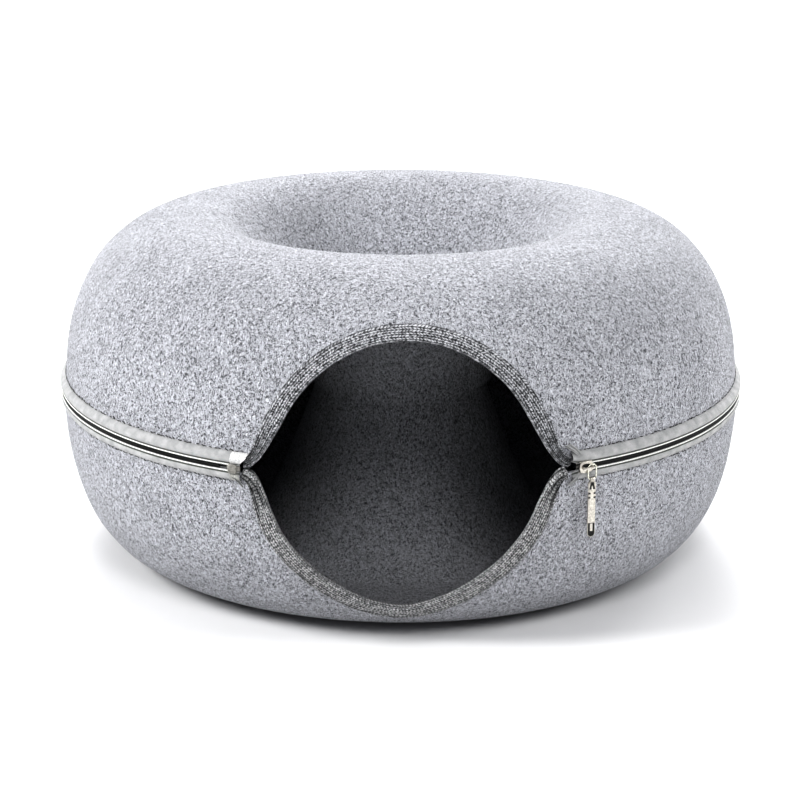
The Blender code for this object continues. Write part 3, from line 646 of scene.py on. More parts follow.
def herringbone_twill(name, gap_shade, yarn, float_highlight, fold_share, patchy):
    """Herringbone twill tape of polyester yarn: rows of short thick floats with dark gaps between.

    The relief is painted into the colour: the gaps between the floats get dark painted shade and the
    floats' crowns a pale painted highlight, so the tape looks knitted from afar. The same formula raises
    the mesh. The yarn's own filaments, 0.02 mm, are drawn 0.3 mm apart.
    """
    made, tree, shader = new_material(name, Roughness=0.78, Specular_IOR_Level=0.35,
                                      Sheen_Weight=0.15, Sheen_Roughness=0.5)
    flat = add_node(tree, "ShaderNodeUVMap", uv_map="UVMap").outputs["UV"]
    place = add_node(tree, "ShaderNodeTexCoord").outputs["Object"]
    run = add_node(tree, "ShaderNodeSeparateXYZ", links={"Vector": flat})
    # Floats lean one way on one row and the other way on the next.
    lean = add_node(tree, "ShaderNodeMath", {1: TWILL_PITCH}, {0: run.outputs["Y"]},
                    operation="PINGPONG")
    slanted = add_node(tree, "ShaderNodeMath", {1: TWILL_SLANT},
                       {0: lean.outputs[0], 2: run.outputs["X"]}, operation="MULTIPLY_ADD")
    part = add_node(tree, "ShaderNodeMath", {1: TWILL_FLOAT / 2}, {0: slanted.outputs[0]},
                    operation="PINGPONG")
    above = add_node(tree, "ShaderNodeMapRange", {"From Min": TWILL_FLOAT * 0.03,
                                                  "From Max": TWILL_FLOAT * 0.22},
                     {"Value": part.outputs[0]}, interpolation_type="SMOOTHSTEP")
    row = add_node(tree, "ShaderNodeMath", {1: TWILL_PITCH / 2}, {0: run.outputs["Y"]},
                   operation="PINGPONG")
    crown = add_node(tree, "ShaderNodeMapRange", {"From Min": 0.0, "From Max": TWILL_PITCH * 0.3},
                     {"Value": row.outputs[0]}, interpolation_type="SMOOTHSTEP")
    woven = add_node(tree, "ShaderNodeMath", links={0: crown.outputs["Result"],
                                                    1: above.outputs["Result"]},
                     operation="MULTIPLY")
    # On the fold the yarns are drawn tight and lie closer than on the legs.
    at_fold = add_node(tree, "ShaderNodeMapRange", {"From Min": BINDING - 0.0010,
                                                    "From Max": BINDING + 0.0012},
                       {"Value": run.outputs["Y"]}, interpolation_type="SMOOTHSTEP")
    tight = add_node(tree, "ShaderNodeMath", {1: fold_share, 2: (1 - fold_share) / 2},
                     {0: woven.outputs[0]}, operation="MULTIPLY_ADD")
    height = add_node(tree, "ShaderNodeMix", links={"Factor": at_fold.outputs["Result"],
                                                    "A": woven.outputs[0],
                                                    "B": tight.outputs[0]})
    # Some rows and stretches of the tape are lighter than others.
    patches = add_node(tree, "ShaderNodeTexNoise", {"Scale": 420.0, "Detail": 2.0}, {"Vector": place})
    uneven = add_node(tree, "ShaderNodeMapRange", {"From Min": 0.35, "From Max": 0.65,
                                                   "To Min": -patchy, "To Max": patchy * 1.3},
                      {"Value": patches.outputs["Fac"]})
    yarns = add_node(tree, "ShaderNodeTexNoise", {"Scale": 2600.0, "Detail": 1.0}, {"Vector": place})
    lit = add_node(tree, "ShaderNodeMath", {1: 0.75}, {0: height.outputs["Result"],
                                                       2: uneven.outputs["Result"]},
                   operation="MULTIPLY_ADD")
    drawn = add_node(tree, "ShaderNodeMath", {1: 0.25}, {0: yarns.outputs["Fac"], 2: lit.outputs[0]},
                     operation="MULTIPLY_ADD")
    # Painted shade darkens the pleats' creases; the dark lines along the sewn edge and the lower tape's
    # fold are darkened the same way. The mesh carries this as an attribute.
    painted_crease_shade = add_node(tree, "ShaderNodeAttribute", attribute_name="painted_crease_shade")
    grain = add_node(tree, "ShaderNodeMath", {1: -CREASE_SHADE},
                     {0: painted_crease_shade.outputs["Fac"], 2: drawn.outputs[0]}, operation="MULTIPLY_ADD")
    # Painted shade in the gaps between the floats and a painted highlight on their crowns, from the
    # relief's height.
    ramp = add_node(tree, "ShaderNodeValToRGB", links={"Fac": grain.outputs[0]})
    fill_ramp(ramp.color_ramp, ((0.12, gap_shade), (0.62, yarn), (0.98, float_highlight)))
    tree.links.new(ramp.outputs["Color"], shader.inputs["Base Color"])
    bump = add_node(tree, "ShaderNodeBump", {"Strength": 0.6, "Distance": 0.0004},
                    {"Height": grain.outputs[0]})
    tree.links.new(bump.outputs["Normal"], shader.inputs["Normal"])
    return made


def woven_tape():
    """Woven polyester zip tape: a close plain weave, off-white, with a ribbed strip beside the cord
    painted dark as the shade of the groove that it lies in.

    Threads lie 0.25 mm apart; the pattern is drawn at 0.8 mm so that it shows as a soft grain.
    """
    made, tree, shader = new_material("woven_polyester_tape", Roughness=0.75,
                                      Specular_IOR_Level=0.35, Sheen_Weight=0.2)
    flat = add_node(tree, "ShaderNodeUVMap", uv_map="UVMap").outputs["UV"]
    place = add_node(tree, "ShaderNodeTexCoord").outputs["Object"]
    run = add_node(tree, "ShaderNodeSeparateXYZ", links={"Vector": flat})
    weave = add_node(tree, "ShaderNodeTexBrick",
                     {"Scale": 1.0, "Mortar Size": 0.00008, "Mortar Smooth": 1.0, "Bias": 0.0,
                      "Brick Width": 0.0008, "Row Height": 0.0004,
                      "Color1": linear("FFFFFF"), "Color2": linear("D2D2D2"),
                      "Mortar": linear("7A7A7A")}, {"Vector": flat})
    clouds = add_node(tree, "ShaderNodeTexNoise", {"Scale": 160.0, "Detail": 4.0}, {"Vector": place})
    shade = add_node(tree, "ShaderNodeValToRGB", links={"Fac": clouds.outputs["Fac"]})
    fill_ramp(shade.color_ramp, ((0.3, "A2A3A3"), (0.6, "BABABA"), (0.9, "CCCCCC")))
    cloth_colour = add_node(tree, "ShaderNodeMix", {"Factor": 0.30},
                            {6: shade.outputs["Color"], 7: weave.outputs["Color"]},
                            data_type="RGBA", blend_type="MULTIPLY")
    # Slanted ribs of the strip, by the distance along plus the distance across.
    slant = add_node(tree, "ShaderNodeMath", links={0: run.outputs["X"], 1: run.outputs["Y"]})
    rib = add_node(tree, "ShaderNodeMath", {1: RIB_PITCH / 2}, {0: slant.outputs[0]},
                   operation="PINGPONG")
    rib_shade = add_node(tree, "ShaderNodeMapRange", {"From Min": 0.0, "From Max": RIB_PITCH / 2},
                         {"Value": rib.outputs[0]}, interpolation_type="SMOOTHSTEP")
    ribs = add_node(tree, "ShaderNodeValToRGB", links={"Fac": rib_shade.outputs["Result"]})
    # Painted shade: the ribbed strip in the groove beside the cord is dark.
    fill_ramp(ribs.color_ramp, ((0.0, "1E201E"), (0.6, "4A4D48"), (1.0, "7C807A")))
    middle = sum(RIBS) / 2
    off = add_node(tree, "ShaderNodeMath", {1: middle}, {0: run.outputs["Y"]}, operation="SUBTRACT")
    away = add_node(tree, "ShaderNodeMath", links={0: off.outputs[0]}, operation="ABSOLUTE")
    half = (RIBS[1] - RIBS[0]) / 2
    inside = add_node(tree, "ShaderNodeMapRange", {"From Min": half - 0.0001, "From Max": half + 0.0001,
                                                   "To Min": 1.0, "To Max": 0.0},
                      {"Value": away.outputs[0]})
    colour = add_node(tree, "ShaderNodeMix", links={"Factor": inside.outputs["Result"],
                                                    6: cloth_colour.outputs[2],
                                                    7: ribs.outputs["Color"]}, data_type="RGBA")
    tree.links.new(colour.outputs[2], shader.inputs["Base Color"])
    grain = add_node(tree, "ShaderNodeMix", links={"Factor": inside.outputs["Result"],
                                                   6: weave.outputs["Color"],
                                                   7: rib_shade.outputs["Result"]},
                     data_type="RGBA")
    bump = add_node(tree, "ShaderNodeBump", {"Strength": 0.5, "Distance": 0.0002},
                    {"Height": grain.outputs[2]})
    tree.links.new(bump.outputs["Normal"], shader.inputs["Normal"])
    return made


def small_finish(name, low, high, scale, bump_reach, **shader_values):
    """A finish whose two shades and fine relief come from one noise of the given scale."""
    made, tree, shader = new_material(name, **shader_values)
    place = add_node(tree, "ShaderNodeTexCoord").outputs["Object"]
    grain = add_node(tree, "ShaderNodeTexNoise", {"Scale": scale, "Detail": 3.0}, {"Vector": place})
    ramp = add_node(tree, "ShaderNodeValToRGB", links={"Fac": grain.outputs["Fac"]})
    fill_ramp(ramp.color_ramp, ((0.35, low), (0.65, high)))
    tree.links.new(ramp.outputs["Color"], shader.inputs["Base Color"])
    bump = add_node(tree, "ShaderNodeBump", {"Strength": 0.4, "Distance": bump_reach},
                    {"Height": grain.outputs["Fac"]})
    tree.links.new(bump.outputs["Normal"], shader.inputs["Normal"])
    return made


def make_finishes():
    """Each real material, by its name in this script."""
    return {
        "felt": needle_felt(),
        # Spun polyester, dyed dark, with the weave's painted shade and painted highlight at full
        # contrast.
        "twill_upper": herringbone_twill("herringbone_twill_tape", "0D0E0F", "7C7D80", "C2C3C6",
                                         0.5, 0.26),
        # The lower tape is drawn paler than the upper one, and a little less patchy.
        "twill_lower": herringbone_twill("herringbone_twill_tape_paler", "141415", "878889", "D2D2D2",
                                         0.9, 0.20),
        "tape": woven_tape(),
        # Cotton cord, bleached: a soft white with no shine.
        "cord": small_finish("bleached_cotton_cord", "D8D8D4", "FAFAF8", 1500.0, 0.0001,
                             Roughness=0.8, Sheen_Weight=0.2),
        # Drawn nylon, black, set by heat: a satin that gives each tooth a small grey highlight.
        "coil": small_finish("drawn_nylon_coil", "0C0D0C", "1C1E1C", 900.0, 0.0001,
                             Roughness=0.38, IOR=1.53),
        # Dark thread in the seam, partly painted shadow: the stitches nearly meet and stand for the
        # shade in the seam's groove.
        "stitch_and_seam_shadow": small_finish("thread_and_painted_seam_shadow", "232323", "4C4C4B", 1800.0, 0.0001,
                               Roughness=0.8),
        # Laminated clear film, with its sheen painted into the colour: pale over the upper tape, darker
        # over the lower one.
        "film_upper": small_finish("laminated_film_painted_sheen", "B4B4B3", "DCDCDB", 1100.0, 0.0002,
                                   Roughness=0.28, IOR=1.58),
        "film_lower": small_finish("laminated_film_painted_sheen_darker", "8E8E8A", "B4B4AF", 1100.0,
                                   0.0002, Roughness=0.28, IOR=1.58),
        # Acetal moulded in a cold tool: grey and satin, with faint flow marks.
        "box": small_finish("moulded_acetal", "7C7A75", "A09E98", 500.0, 0.0002,
                            Roughness=0.45, IOR=1.48),
        # Zinc cast, barrel-tumbled and nickel plated: bright, with a soft grain from the cast.
        "nickel": small_finish("nickel_plated_zinc", "BAB6AE", "E2DED6", 900.0, 0.0001,
                               Metallic=1.0, Roughness=0.38),
        # Painted shade for the metal's window, nicks, tip and hollow, on thin dark plates: dull, and
        # never quite even.
        "painted_recess_shade": small_finish("dark_plate_painted_shade", "0E0E0D", "2A2A27", 1500.0, 0.0001,
                              Roughness=0.7),
        # Bent steel wire, nickel plated and polished by the puller's rubbing.
        "wire": small_finish("nickel_plated_wire", "C4C4B8", "E6E6DC", 700.0, 0.00006,
                             Metallic=1.0, Roughness=0.25),
    }


# ---------------------------------------------------------------- felt half shells

def out_of_true(points, key):
    """Small slow bulges that hand moulding leaves, square to the ring's section."""
    x, y, z = points[:, 0], points[:, 1] - AXIS_Y, points[:, 2]
    angle = np.arctan2(y, x)
    phase = 0.0 if key == "upper" else 2.1
    wave = (np.sin(5 * angle + phase) * np.sin(z * 31 + phase)
            + 0.7 * np.sin(11 * angle - 2 * phase + z * 47)
            + 0.5 * np.sin(23 * angle + 3 * phase - z * 60))
    return wave * UNEVEN / 2


def make_felt(key, cutter, material):
    """A half shell: its section is drawn from a circle, spun round the hole and cut at the doorway."""
    half = HALVES[key]
    section = felt_section(half) * (1.0, SIDE[key])
    deselect()
    bpy.ops.mesh.primitive_circle_add(vertices=len(section), radius=half["wall"])
    shell = named("felt_shell_" + key)
    set_points(shell, [(r, AXIS_Y, ZIP_HEIGHT + z) for r, z in section])
    open_for_editing(shell)
    bpy.ops.mesh.spin(steps=FELT_TURNS, angle=2 * math.pi, center=(0.0, AXIS_Y, 0.0),
                      axis=(0.0, 0.0, 1.0))
    tidy_normals(shell, merge=FELT_MERGE)
    points = get_points(shell)
    outward = points - (0.0, AXIS_Y, 0.0)
    outward[:, 2] = 0.0
    outward /= np.linalg.norm(outward, axis=1)[:, None]
    # The bulges fade out towards the zip, the floor and the top.
    height = points[:, 2]
    push = out_of_true(points, key)
    for room in (np.abs(height - ZIP_HEIGHT) - BULGE_FREE, height, 2 * ZIP_HEIGHT - height):
        push = push * np.clip(room / BULGE_FADE, 0.0, 1.0)
    set_points(shell, points + outward * push[:, None])
    cut_out(shell, cutter, keep_tool=True)
    return finish_piece(shell, "shell_" + key, material, degrees=50.0)


def make_door_cutter():
    """A prism along Y with the doorway's outline."""
    outline = np.vstack([door_edge("upper"), door_edge("lower")[::-1]]) + (0.0, ZIP_HEIGHT)
    near, far = DOOR_DEPTH
    return slab("doorway_cutter", outline, far - near, AXIS_Y - far)


# ---------------------------------------------------------------- the doorway's binding

def twill_height(u, v):
    """Relief of the herringbone, from 0 between the floats to 1 on them."""
    lean = TWILL_PITCH - np.abs(np.mod(v, 2 * TWILL_PITCH) - TWILL_PITCH)
    row = np.abs(2 * np.mod(v / TWILL_PITCH, 1.0) - 1)
    part = np.abs(2 * np.mod((u + TWILL_SLANT * lean) / TWILL_FLOAT, 1.0) - 1)
    return (1 - row ** 3) * (1 - part ** 4)


def make_binding(key, material):
    """The folded tape: outer leg, rounded fold and inner leg, gathered and closed at both ends."""
    edge, along, away = door_stations(key, BINDING_STEP)
    left = np.minimum(np.minimum(along, along[-1] - along) / TUCK_LENGTH, 1.0)
    ease = left ** 2 * (3 - 2 * left)
    width = BINDING * (BINDING_TUCK + (1 - BINDING_TUCK) * ease)
    face = GAP + BINDING_TAPE
    rows, across = [], []
    for share in np.linspace(1.0, 0.0, OUTER_ROWS):
        sewn = math.sqrt(min((1.0 - share) * 9, 1.0))      # the tape's edge is sewn down
        rows.append(by_door(key, edge, away, width * share, False, face * (0.25 + 0.75 * sewn)))
        across.append(BINDING * (1 - share))
    outer = rows[-1]
    inner = by_door(key, edge, away, width * 0, True, INSIDE_GAP + BINDING_TAPE)
    middle, reach = (outer + inner) / 2, (outer - inner) / 2
    drop = np.zeros_like(middle)
    drop[:, 0], drop[:, 2] = -away[:, 0], -away[:, 1]
    nose = GAP + BINDING_TAPE * 1.2
    for turn in np.linspace(0.0, math.pi, NOSE_ROWS + 2)[1:-1]:
        # A squarish half round, so the fold is as full as the felt that it covers.
        side = math.copysign(abs(math.cos(turn)) ** 0.75, math.cos(turn))
        rows.append(middle + reach * side + drop * nose * math.sin(turn) ** 0.6)
        across.append(BINDING + FOLD * turn / math.pi)
    for share in np.linspace(0.0, 1.0, INNER_ROWS):
        lift = INSIDE_GAP + BINDING_TAPE * (1 - 0.5 * share ** 6)
        rows.append(by_door(key, edge, away, width * share, True, lift))
        across.append(BINDING + FOLD + BINDING * share)
    places = np.stack(rows)
    lengths = grid_lengths(along[None, :], np.array(across)[:, None])
    # The yarns stray a little, so the rows aren't ruled lines.
    u, v = lengths[..., 0], lengths[..., 1]
    stray_u, stray_v = TWILL_WANDER
    lengths[..., 0] = u + stray_u * (np.sin(v * 900 + 3 * np.sin(u * 110)) + np.sin(u * 530 + v * 260))
    lengths[..., 1] = v + stray_v * np.sin(u * 260 + 2 * np.sin(v * 700))
    # Gathered cloth stands in soft pleats along the edge near the corners.
    wave = np.sin(v / PLEAT_PITCH * 2 * math.pi + 3 * np.sin(u * 75))
    gathered = (1 - ease) ** 0.6
    pleats = wave * gathered * PLEAT_RISE
    # Painted shade in the pleats' valleys.
    creases = np.clip(-wave, 0.0, 1.0) ** 2 * gathered * (v < BINDING * 0.75)
    for line, strength in SEWN_LINES[key]:
        drift = line + SEWN_DRIFT * np.sin(u * 310 + line * 4000)
        creases = np.maximum(creases, strength * np.exp(-((v - drift) / SEWN_WIDTH) ** 2))
    creases = np.maximum(creases, FOLD_SHADE[key] * (v > BINDING))
    slack = SLACK[0] * np.sin(u * 190 + 3 * np.sin(v * 300)) + SLACK[1] * np.sin(u * 410 + 1.7)
    lift = TWILL_RELIEF * (twill_height(lengths[..., 0], lengths[..., 1]) - 0.5) + pleats + slack
    places = places + normals_of(places) * SIDE[key] * lift[..., None]
    # Round the ends off, so that the fold is closed at the corners.
    ends = []
    for column, beyond in ((0, -1), (-1, 1)):
        section = places[:, column]
        centre = section.mean(axis=0)
        run = (section - places[:, column - beyond * 3]).mean(axis=0)
        run /= np.linalg.norm(run)
        steps = [centre + (section - centre) * math.cos(turn) + run * END_ROUND * math.sin(turn)
                 for turn in np.linspace(0.0, math.pi / 2 * 0.97, END_STEPS + 1)[1:]]
        ends.append(np.stack(steps[::beyond], axis=1))
    places = np.concatenate([ends[0], places, ends[1]], axis=1)
    beyond = np.arange(1, END_STEPS + 1) * BINDING_STEP
    before, after = lengths[:, :1] + 0.0, lengths[:, -1:] + 0.0
    before = before - np.stack([beyond[::-1], 0 * beyond], axis=1)[None]
    after = after + np.stack([beyond, 0 * beyond], axis=1)[None]
    lengths = np.concatenate([before, lengths, after], axis=1)
    creases = np.pad(creases, ((0, 0), (END_STEPS, END_STEPS)), mode="edge")
    piece = cloth("twill_binding_" + key, places, lengths)
    shade = piece.data.attributes.new("painted_crease_shade", "FLOAT", "POINT")
    shade.data.foreach_set("value", np.ascontiguousarray(creases, dtype=np.float32).ravel())
    finish_piece(piece, "binding_" + key, material, degrees=80.0)
    return piece


# ---------------------------------------------------------------- zip

def rounded_row(points, rounds=2):
    """Cuts the corners of a polyline, both ends kept."""
    points = np.asarray(points)
    for _ in range(rounds):
        near, far = points[:-1], points[1:]
        cut = np.stack([near * 0.75 + far * 0.25, near * 0.25 + far * 0.75], axis=1).reshape(-1, 2)
        points = np.vstack([points[:1], cut, points[-1:]])
    return points


def make_zip_tape(key, material):
    """One half of the zip's woven tape, sewn over the felt's edge, with its loose end folded down."""
    face = np.array(TAPE_FACE[key])
    under = [(face[0, 0], face[0, 1] - TAPE_UNDER)]
    back = [face[-1] - TAPE_BACK]
    row = rounded_row(np.vstack([under, face, back]), 1)
    angles = np.linspace(ZIP_END, 2 * math.pi - ZIP_END, TAPE_STEPS)
    along = angles * row[:, 1].mean()
    from_seam = distance_along(row)
    across = from_seam[-1] - from_seam
    # Each stitch pulls the tape's sewn edge in, and the tape between them puffs up.
    puff = (np.cos(2 * math.pi * along / STITCH_PITCH)[None, :]
            * np.exp(-from_seam / PUFF_REACH)[:, None])
    loose = (TAPE_SLACK[0] * np.sin(along * 83) + TAPE_SLACK[1] * np.sin(along * 191 + 1))[None, :]
    radius = row[:, 1][:, None] - PUFF_OUT * puff + loose * (from_seam < SLACK_REACH)[:, None]
    # By the slider the two tapes part and sink, which leaves a dark gap.
    parted = np.clip(1 - (angles - ZIP_END) / PARTED_TURN, 0.0, 1.0)[None, :] ** 1.5
    near_coil = np.exp(-(row[:, 0] / PARTED_NEAR) ** 2)[:, None]
    radius = radius - PARTED_SINK * parted * near_coil
    height = (row[:, 0][:, None] - PUFF_SIDE * puff + PARTED_RISE * parted * near_coil) * SIDE[key]
    places = on_ring(angles[None, :], radius, height)
    piece = cloth("woven_zip_tape_" + key, places, grid_lengths(along[None, :], across[:, None]))
    piece = join([piece] + [make_tape_tail(key, *tail) for tail in TAPE_TAILS[key]])
    finish_piece(piece, "zip_tape_" + key, material, degrees=60.0)
    return piece


def make_tape_tail(key, near, far, widths, lifts):
    """A tape end that is folded down beside the binding: from and to an angle and a height."""
    share = np.linspace(0.0, 1.0, TAIL_STEPS[0])[None, :]
    aside = np.linspace(-0.5, 0.5, TAIL_STEPS[1])[:, None]
    (near_angle, near_z), (far_angle, far_z) = near, far
    width = widths[0] + (widths[1] - widths[0]) * share
    bow = TAIL_BOW * np.sin(share * math.pi)
    angle = np.radians(near_angle + (far_angle - near_angle) * share + bow + width * aside)
    z = near_z + (far_z - near_z) * share + TAIL_SPREAD * aside
    lift = lifts[0] + (lifts[1] - lifts[0]) * share + TAIL_CURL * np.cos(aside * 14 + 2 * share)
    radius = wall_radius(HALVES[key], z) + lift
    places = on_ring(angle, radius, z * SIDE[key])
    length = np.hypot((far_z - near_z), math.radians(far_angle - near_angle) * radius.mean())
    lengths = grid_lengths(length * share, TAIL_WEAVE[0] + TAIL_WEAVE[1] * aside)
    return cloth("tape_tail", places, lengths)


def make_cord(key, material):
    """The white cord along the coil: a short beaded tube, spun and copied round the ring."""
    start, end = SLIDER_ANGLE, 2 * math.pi + BOX_ANGLE
    height = CORD_HEIGHT * SIDE[key]
    bead_turn = BEAD_PITCH / CORD_RADIUS
    runs = int((end - start) / bead_turn / BEADS_IN_RUN)
    run_turn = (end - start) / runs
    run = ring_tube("cord_run", start, start + run_turn, CORD_RADIUS, height, CORD_THICK,
                    BEADS_IN_RUN * RINGS_IN_BEAD, CORD_SIDES, closed=False)
    points = get_points(run)
    angle = np.arctan2(points[:, 1] - AXIS_Y, points[:, 0]) + math.pi / 2
    middle = on_ring(angle, CORD_RADIUS, height)
    share = (angle - start) / run_turn * BEADS_IN_RUN
    bead = BEAD_WAIST + (1 - BEAD_WAIST) * np.abs(np.sin(math.pi * share)) ** 0.7
    set_points(run, middle + (points - middle) * bead[:, None])
    piece = repeated("cotton_cord_" + key, run, round_the_hole(run_turn, runs))
    # The runs are welded, and the two open ends are closed.
    open_for_editing(piece)
    bpy.ops.mesh.remove_doubles(threshold=CORD_MERGE)
    bpy.ops.mesh.select_all(action="DESELECT")
    bpy.ops.mesh.select_non_manifold()
    bpy.ops.mesh.edge_face_add()
    tidy_normals(piece, merge=CAP_MERGE)
    return finish_piece(piece, None, material, degrees=70.0)


def make_coil(key, material):
    """One side of the coil: rounded teeth that pass between the other side's, on a core cord."""
    side = SIDE[key]
    start = SLIDER_ANGLE + (POST_X + POST[0] / 2 + GAP) / COIL_OUTER
    end = 2 * math.pi + BOX_ANGLE - BOX_CAP[0] / 2 / COIL_OUTER
    tooth = block("nylon_tooth", TOOTH, (0.0, 0.0, 0.0), TOOTH_ROUND, segments=1)
    points = get_points(tooth)
    # The head, at the middle of the zip, is fuller than the legs and stands a little proud.
    head = np.clip(0.5 - points[:, 2] / TOOTH[2], 0.0, 1.0)
    points[:, 0] *= 0.85 + 0.35 * head
    points[:, 1] -= HEAD_PROUD * np.sin(head * math.pi)
    set_points(tooth, points)
    # The teeth are copied in two rounds: a run of them, and then that run along the ring.
    step = TOOTH_PITCH / COIL_OUTER
    first = start + (0.0 if side > 0 else 0.5) * step
    reach = (COIL_HALF - TOOTH[2] / 2) * side
    run = repeated("nylon_run", tooth, [tooth_place(first + k * step, reach, side)
                                        for k in range(TEETH_IN_RUN)])
    runs = int((end - first) / step / TEETH_IN_RUN)
    teeth = repeated("nylon_coil_" + key, run, round_the_hole(TEETH_IN_RUN * step, runs))
    core = ring_tube("coil_core_" + key, start, end, (COIL_INNER + COIL_OUTER) / 2 - CORE_SUNK,
                     CORE_HEIGHT * side, CORE_THICK, CORE_STEPS, CORD_SIDES)
    return finish_piece(join([teeth, core]), "zip_coil_" + key, material, degrees=50.0)


def tooth_place(angle, reach, side):
    """A tooth's place: upright for the upper side, and turned over for the lower one."""
    middle = Vector(on_ring(angle, (COIL_INNER + COIL_OUTER) / 2, reach))
    place = Matrix.Translation(middle) @ turned_outward(angle)
    return place if side > 0 else place @ Matrix.Rotation(math.pi, 4, "Y")


def ring_tube(name, start, end, radius, height, thick, steps, sides, closed=True):
    """A tube along part of the ring, spun from a circle."""
    deselect()
    bpy.ops.mesh.primitive_circle_add(vertices=sides, radius=thick,
                                      fill_type="NGON" if closed else "NOTHING")
    piece = named(name)
    centre = on_ring(start, radius, height)
    aside = on_ring(start, radius + thick, height) - centre
    turn = np.linspace(0.0, 2 * math.pi, sides, endpoint=False)[:, None]
    set_points(piece, centre + aside * np.cos(turn) + np.array([0.0, 0.0, thick]) * np.sin(turn))
    open_for_editing(piece)
    bpy.ops.mesh.spin(steps=steps, angle=end - start, center=(0.0, AXIS_Y, 0.0),
                      axis=(0.0, 0.0, -1.0))
    tidy_normals(piece)
    return piece


def make_stitches(key, material):
    """The seam's stitches along the felt's edge, with uneven lengths and slants. They are drawn long and
    dark, so that they nearly meet and also paint the shadow in the seam's groove.
    """
    stitch = block("seam_stitch", (STITCH_LENGTH, STITCH_THICK, STITCH_THICK), (0.0, 0.0, 0.0),
                   STITCH_THICK * 0.3, segments=1)
    points = get_points(stitch)
    share = np.abs(points[:, 0]) / (STITCH_LENGTH / 2)
    points[:, 1] += share ** 2 * STITCH_THICK          # both ends dive into the wool
    points[:, 2] *= 1 - 0.4 * share
    set_points(stitch, points)
    seam_height, radius = STITCH_PLACE[key]
    count = int((2 * math.pi - 2 * ZIP_END) * radius / STITCH_PITCH)
    places = []
    for k in range(count):
        angle = ZIP_END + (k + 0.5 + STITCH_STRAY * RANDOM.standard_normal()) * STITCH_PITCH / radius
        height = (seam_height + STITCH_LIFT * RANDOM.standard_normal()) * SIDE[key]
        slant = STITCH_SLANT + STITCH_SLANT * RANDOM.standard_normal()
        scale = RANDOM.uniform(*STITCH_SCALE)
        places.append(Matrix.Translation(Vector(on_ring(angle, radius, height)))
                      @ turned_outward(angle)
                      @ Matrix.Rotation(slant, 4, "Y") @ Matrix.Diagonal((scale, 1.0, scale, 1.0)))
    piece = repeated("seam_stitches_and_shadow_" + key, stitch, places)
    return finish_piece(piece, None, material, degrees=50.0)


# ---------------------------------------------------------------- film and end box

def make_film(key, material):
    """The stiffening film on the left-hand tape end, torn off along its far edge."""
    face = np.array(TAPE_FACE[key][:6])
    row = rounded_row(face, 1)
    height, torn = np.array(FILM_TORN[key]).T
    rags = RANDOM.uniform(-FILM_RAG, FILM_RAG, len(row))
    end = 2 * math.pi + np.radians(np.interp(row[:, 0], height, torn)) + rags / COIL_OUTER
    start_rags = RANDOM.uniform(-FILM_START_RAG, FILM_START_RAG, len(row))
    start = 2 * math.pi + FILM_START + start_rags / COIL_OUTER
    share = np.linspace(0.0, 1.0, FILM_STEPS)
    angles = start[:, None] + (end - start)[:, None] * share[None, :]
    creases = FILM_CREASE * np.sin(share * 21)[None, :] * np.cos(np.arange(len(row)) * 0.9)[:, None]
    lift = FILM_LIFT + FILM_CURL * (1 - share[None, :]) ** 6 + creases
    places = on_ring(angles, row[:, 1][:, None] + lift, row[:, 0][:, None] * SIDE[key])
    lengths = grid_lengths((angles - angles.min()) * COIL_OUTER, distance_along(row)[:, None])
    piece = cloth("laminated_film_" + key, places, lengths)
    modify(piece, "SOLIDIFY", thickness=FILM_THICK, offset=0.0)
    return finish_piece(piece, "zip_film_" + key, material, degrees=50.0)


def make_box(material):
    """The moulded end box: a rounded cap with two slots, and a stem between the tapes."""
    cap = block("end_box_cap", BOX_CAP, (0.0, -BOX_CAP[1] / 2, 0.0), BOX_ROUND, segments=3)
    points = get_points(cap)
    corner = np.abs(points[:, 0] / BOX_CAP[0] * points[:, 2] / BOX_CAP[2]) * 4
    points[:, [0, 2]] *= 1 - BOX_CORNER * corner[:, None]
    set_points(cap, points)
    slot_x, slot_z = BOX_SLOT_PLACE
    for side in (-1, 1):
        cut_out(cap, block("end_box_slot", BOX_SLOT, (slot_x, -BOX_CAP[1], side * slot_z), 0.0001))
    stem = block("end_box_stem", BOX_STEM, (0.0, BOX_STEM_DEPTH, 0.0), KEEL_ROUND)
    piece = join([cap, stem], "moulded_end_box")
    set_on_ring(piece, BOX_ANGLE, BOX_FACE)
    return finish_piece(piece, "zip_box", material, degrees=35.0)


# ---------------------------------------------------------------- slider, link and tab

def rounded_outline(half_x, half_z, taper):
    """A rounded outline in x and z, which narrows towards +x by a share of its height."""
    turn = np.linspace(0.0, 2 * math.pi, OUTLINE_STEPS, endpoint=False)
    x = half_x * np.sign(np.cos(turn)) * np.abs(np.cos(turn)) ** OUTLINE_POWER
    z = half_z * np.sign(np.sin(turn)) * np.abs(np.sin(turn)) ** OUTLINE_POWER
    return list(zip(x, z * (1 - taper * (x / half_x + 1) / 2)))


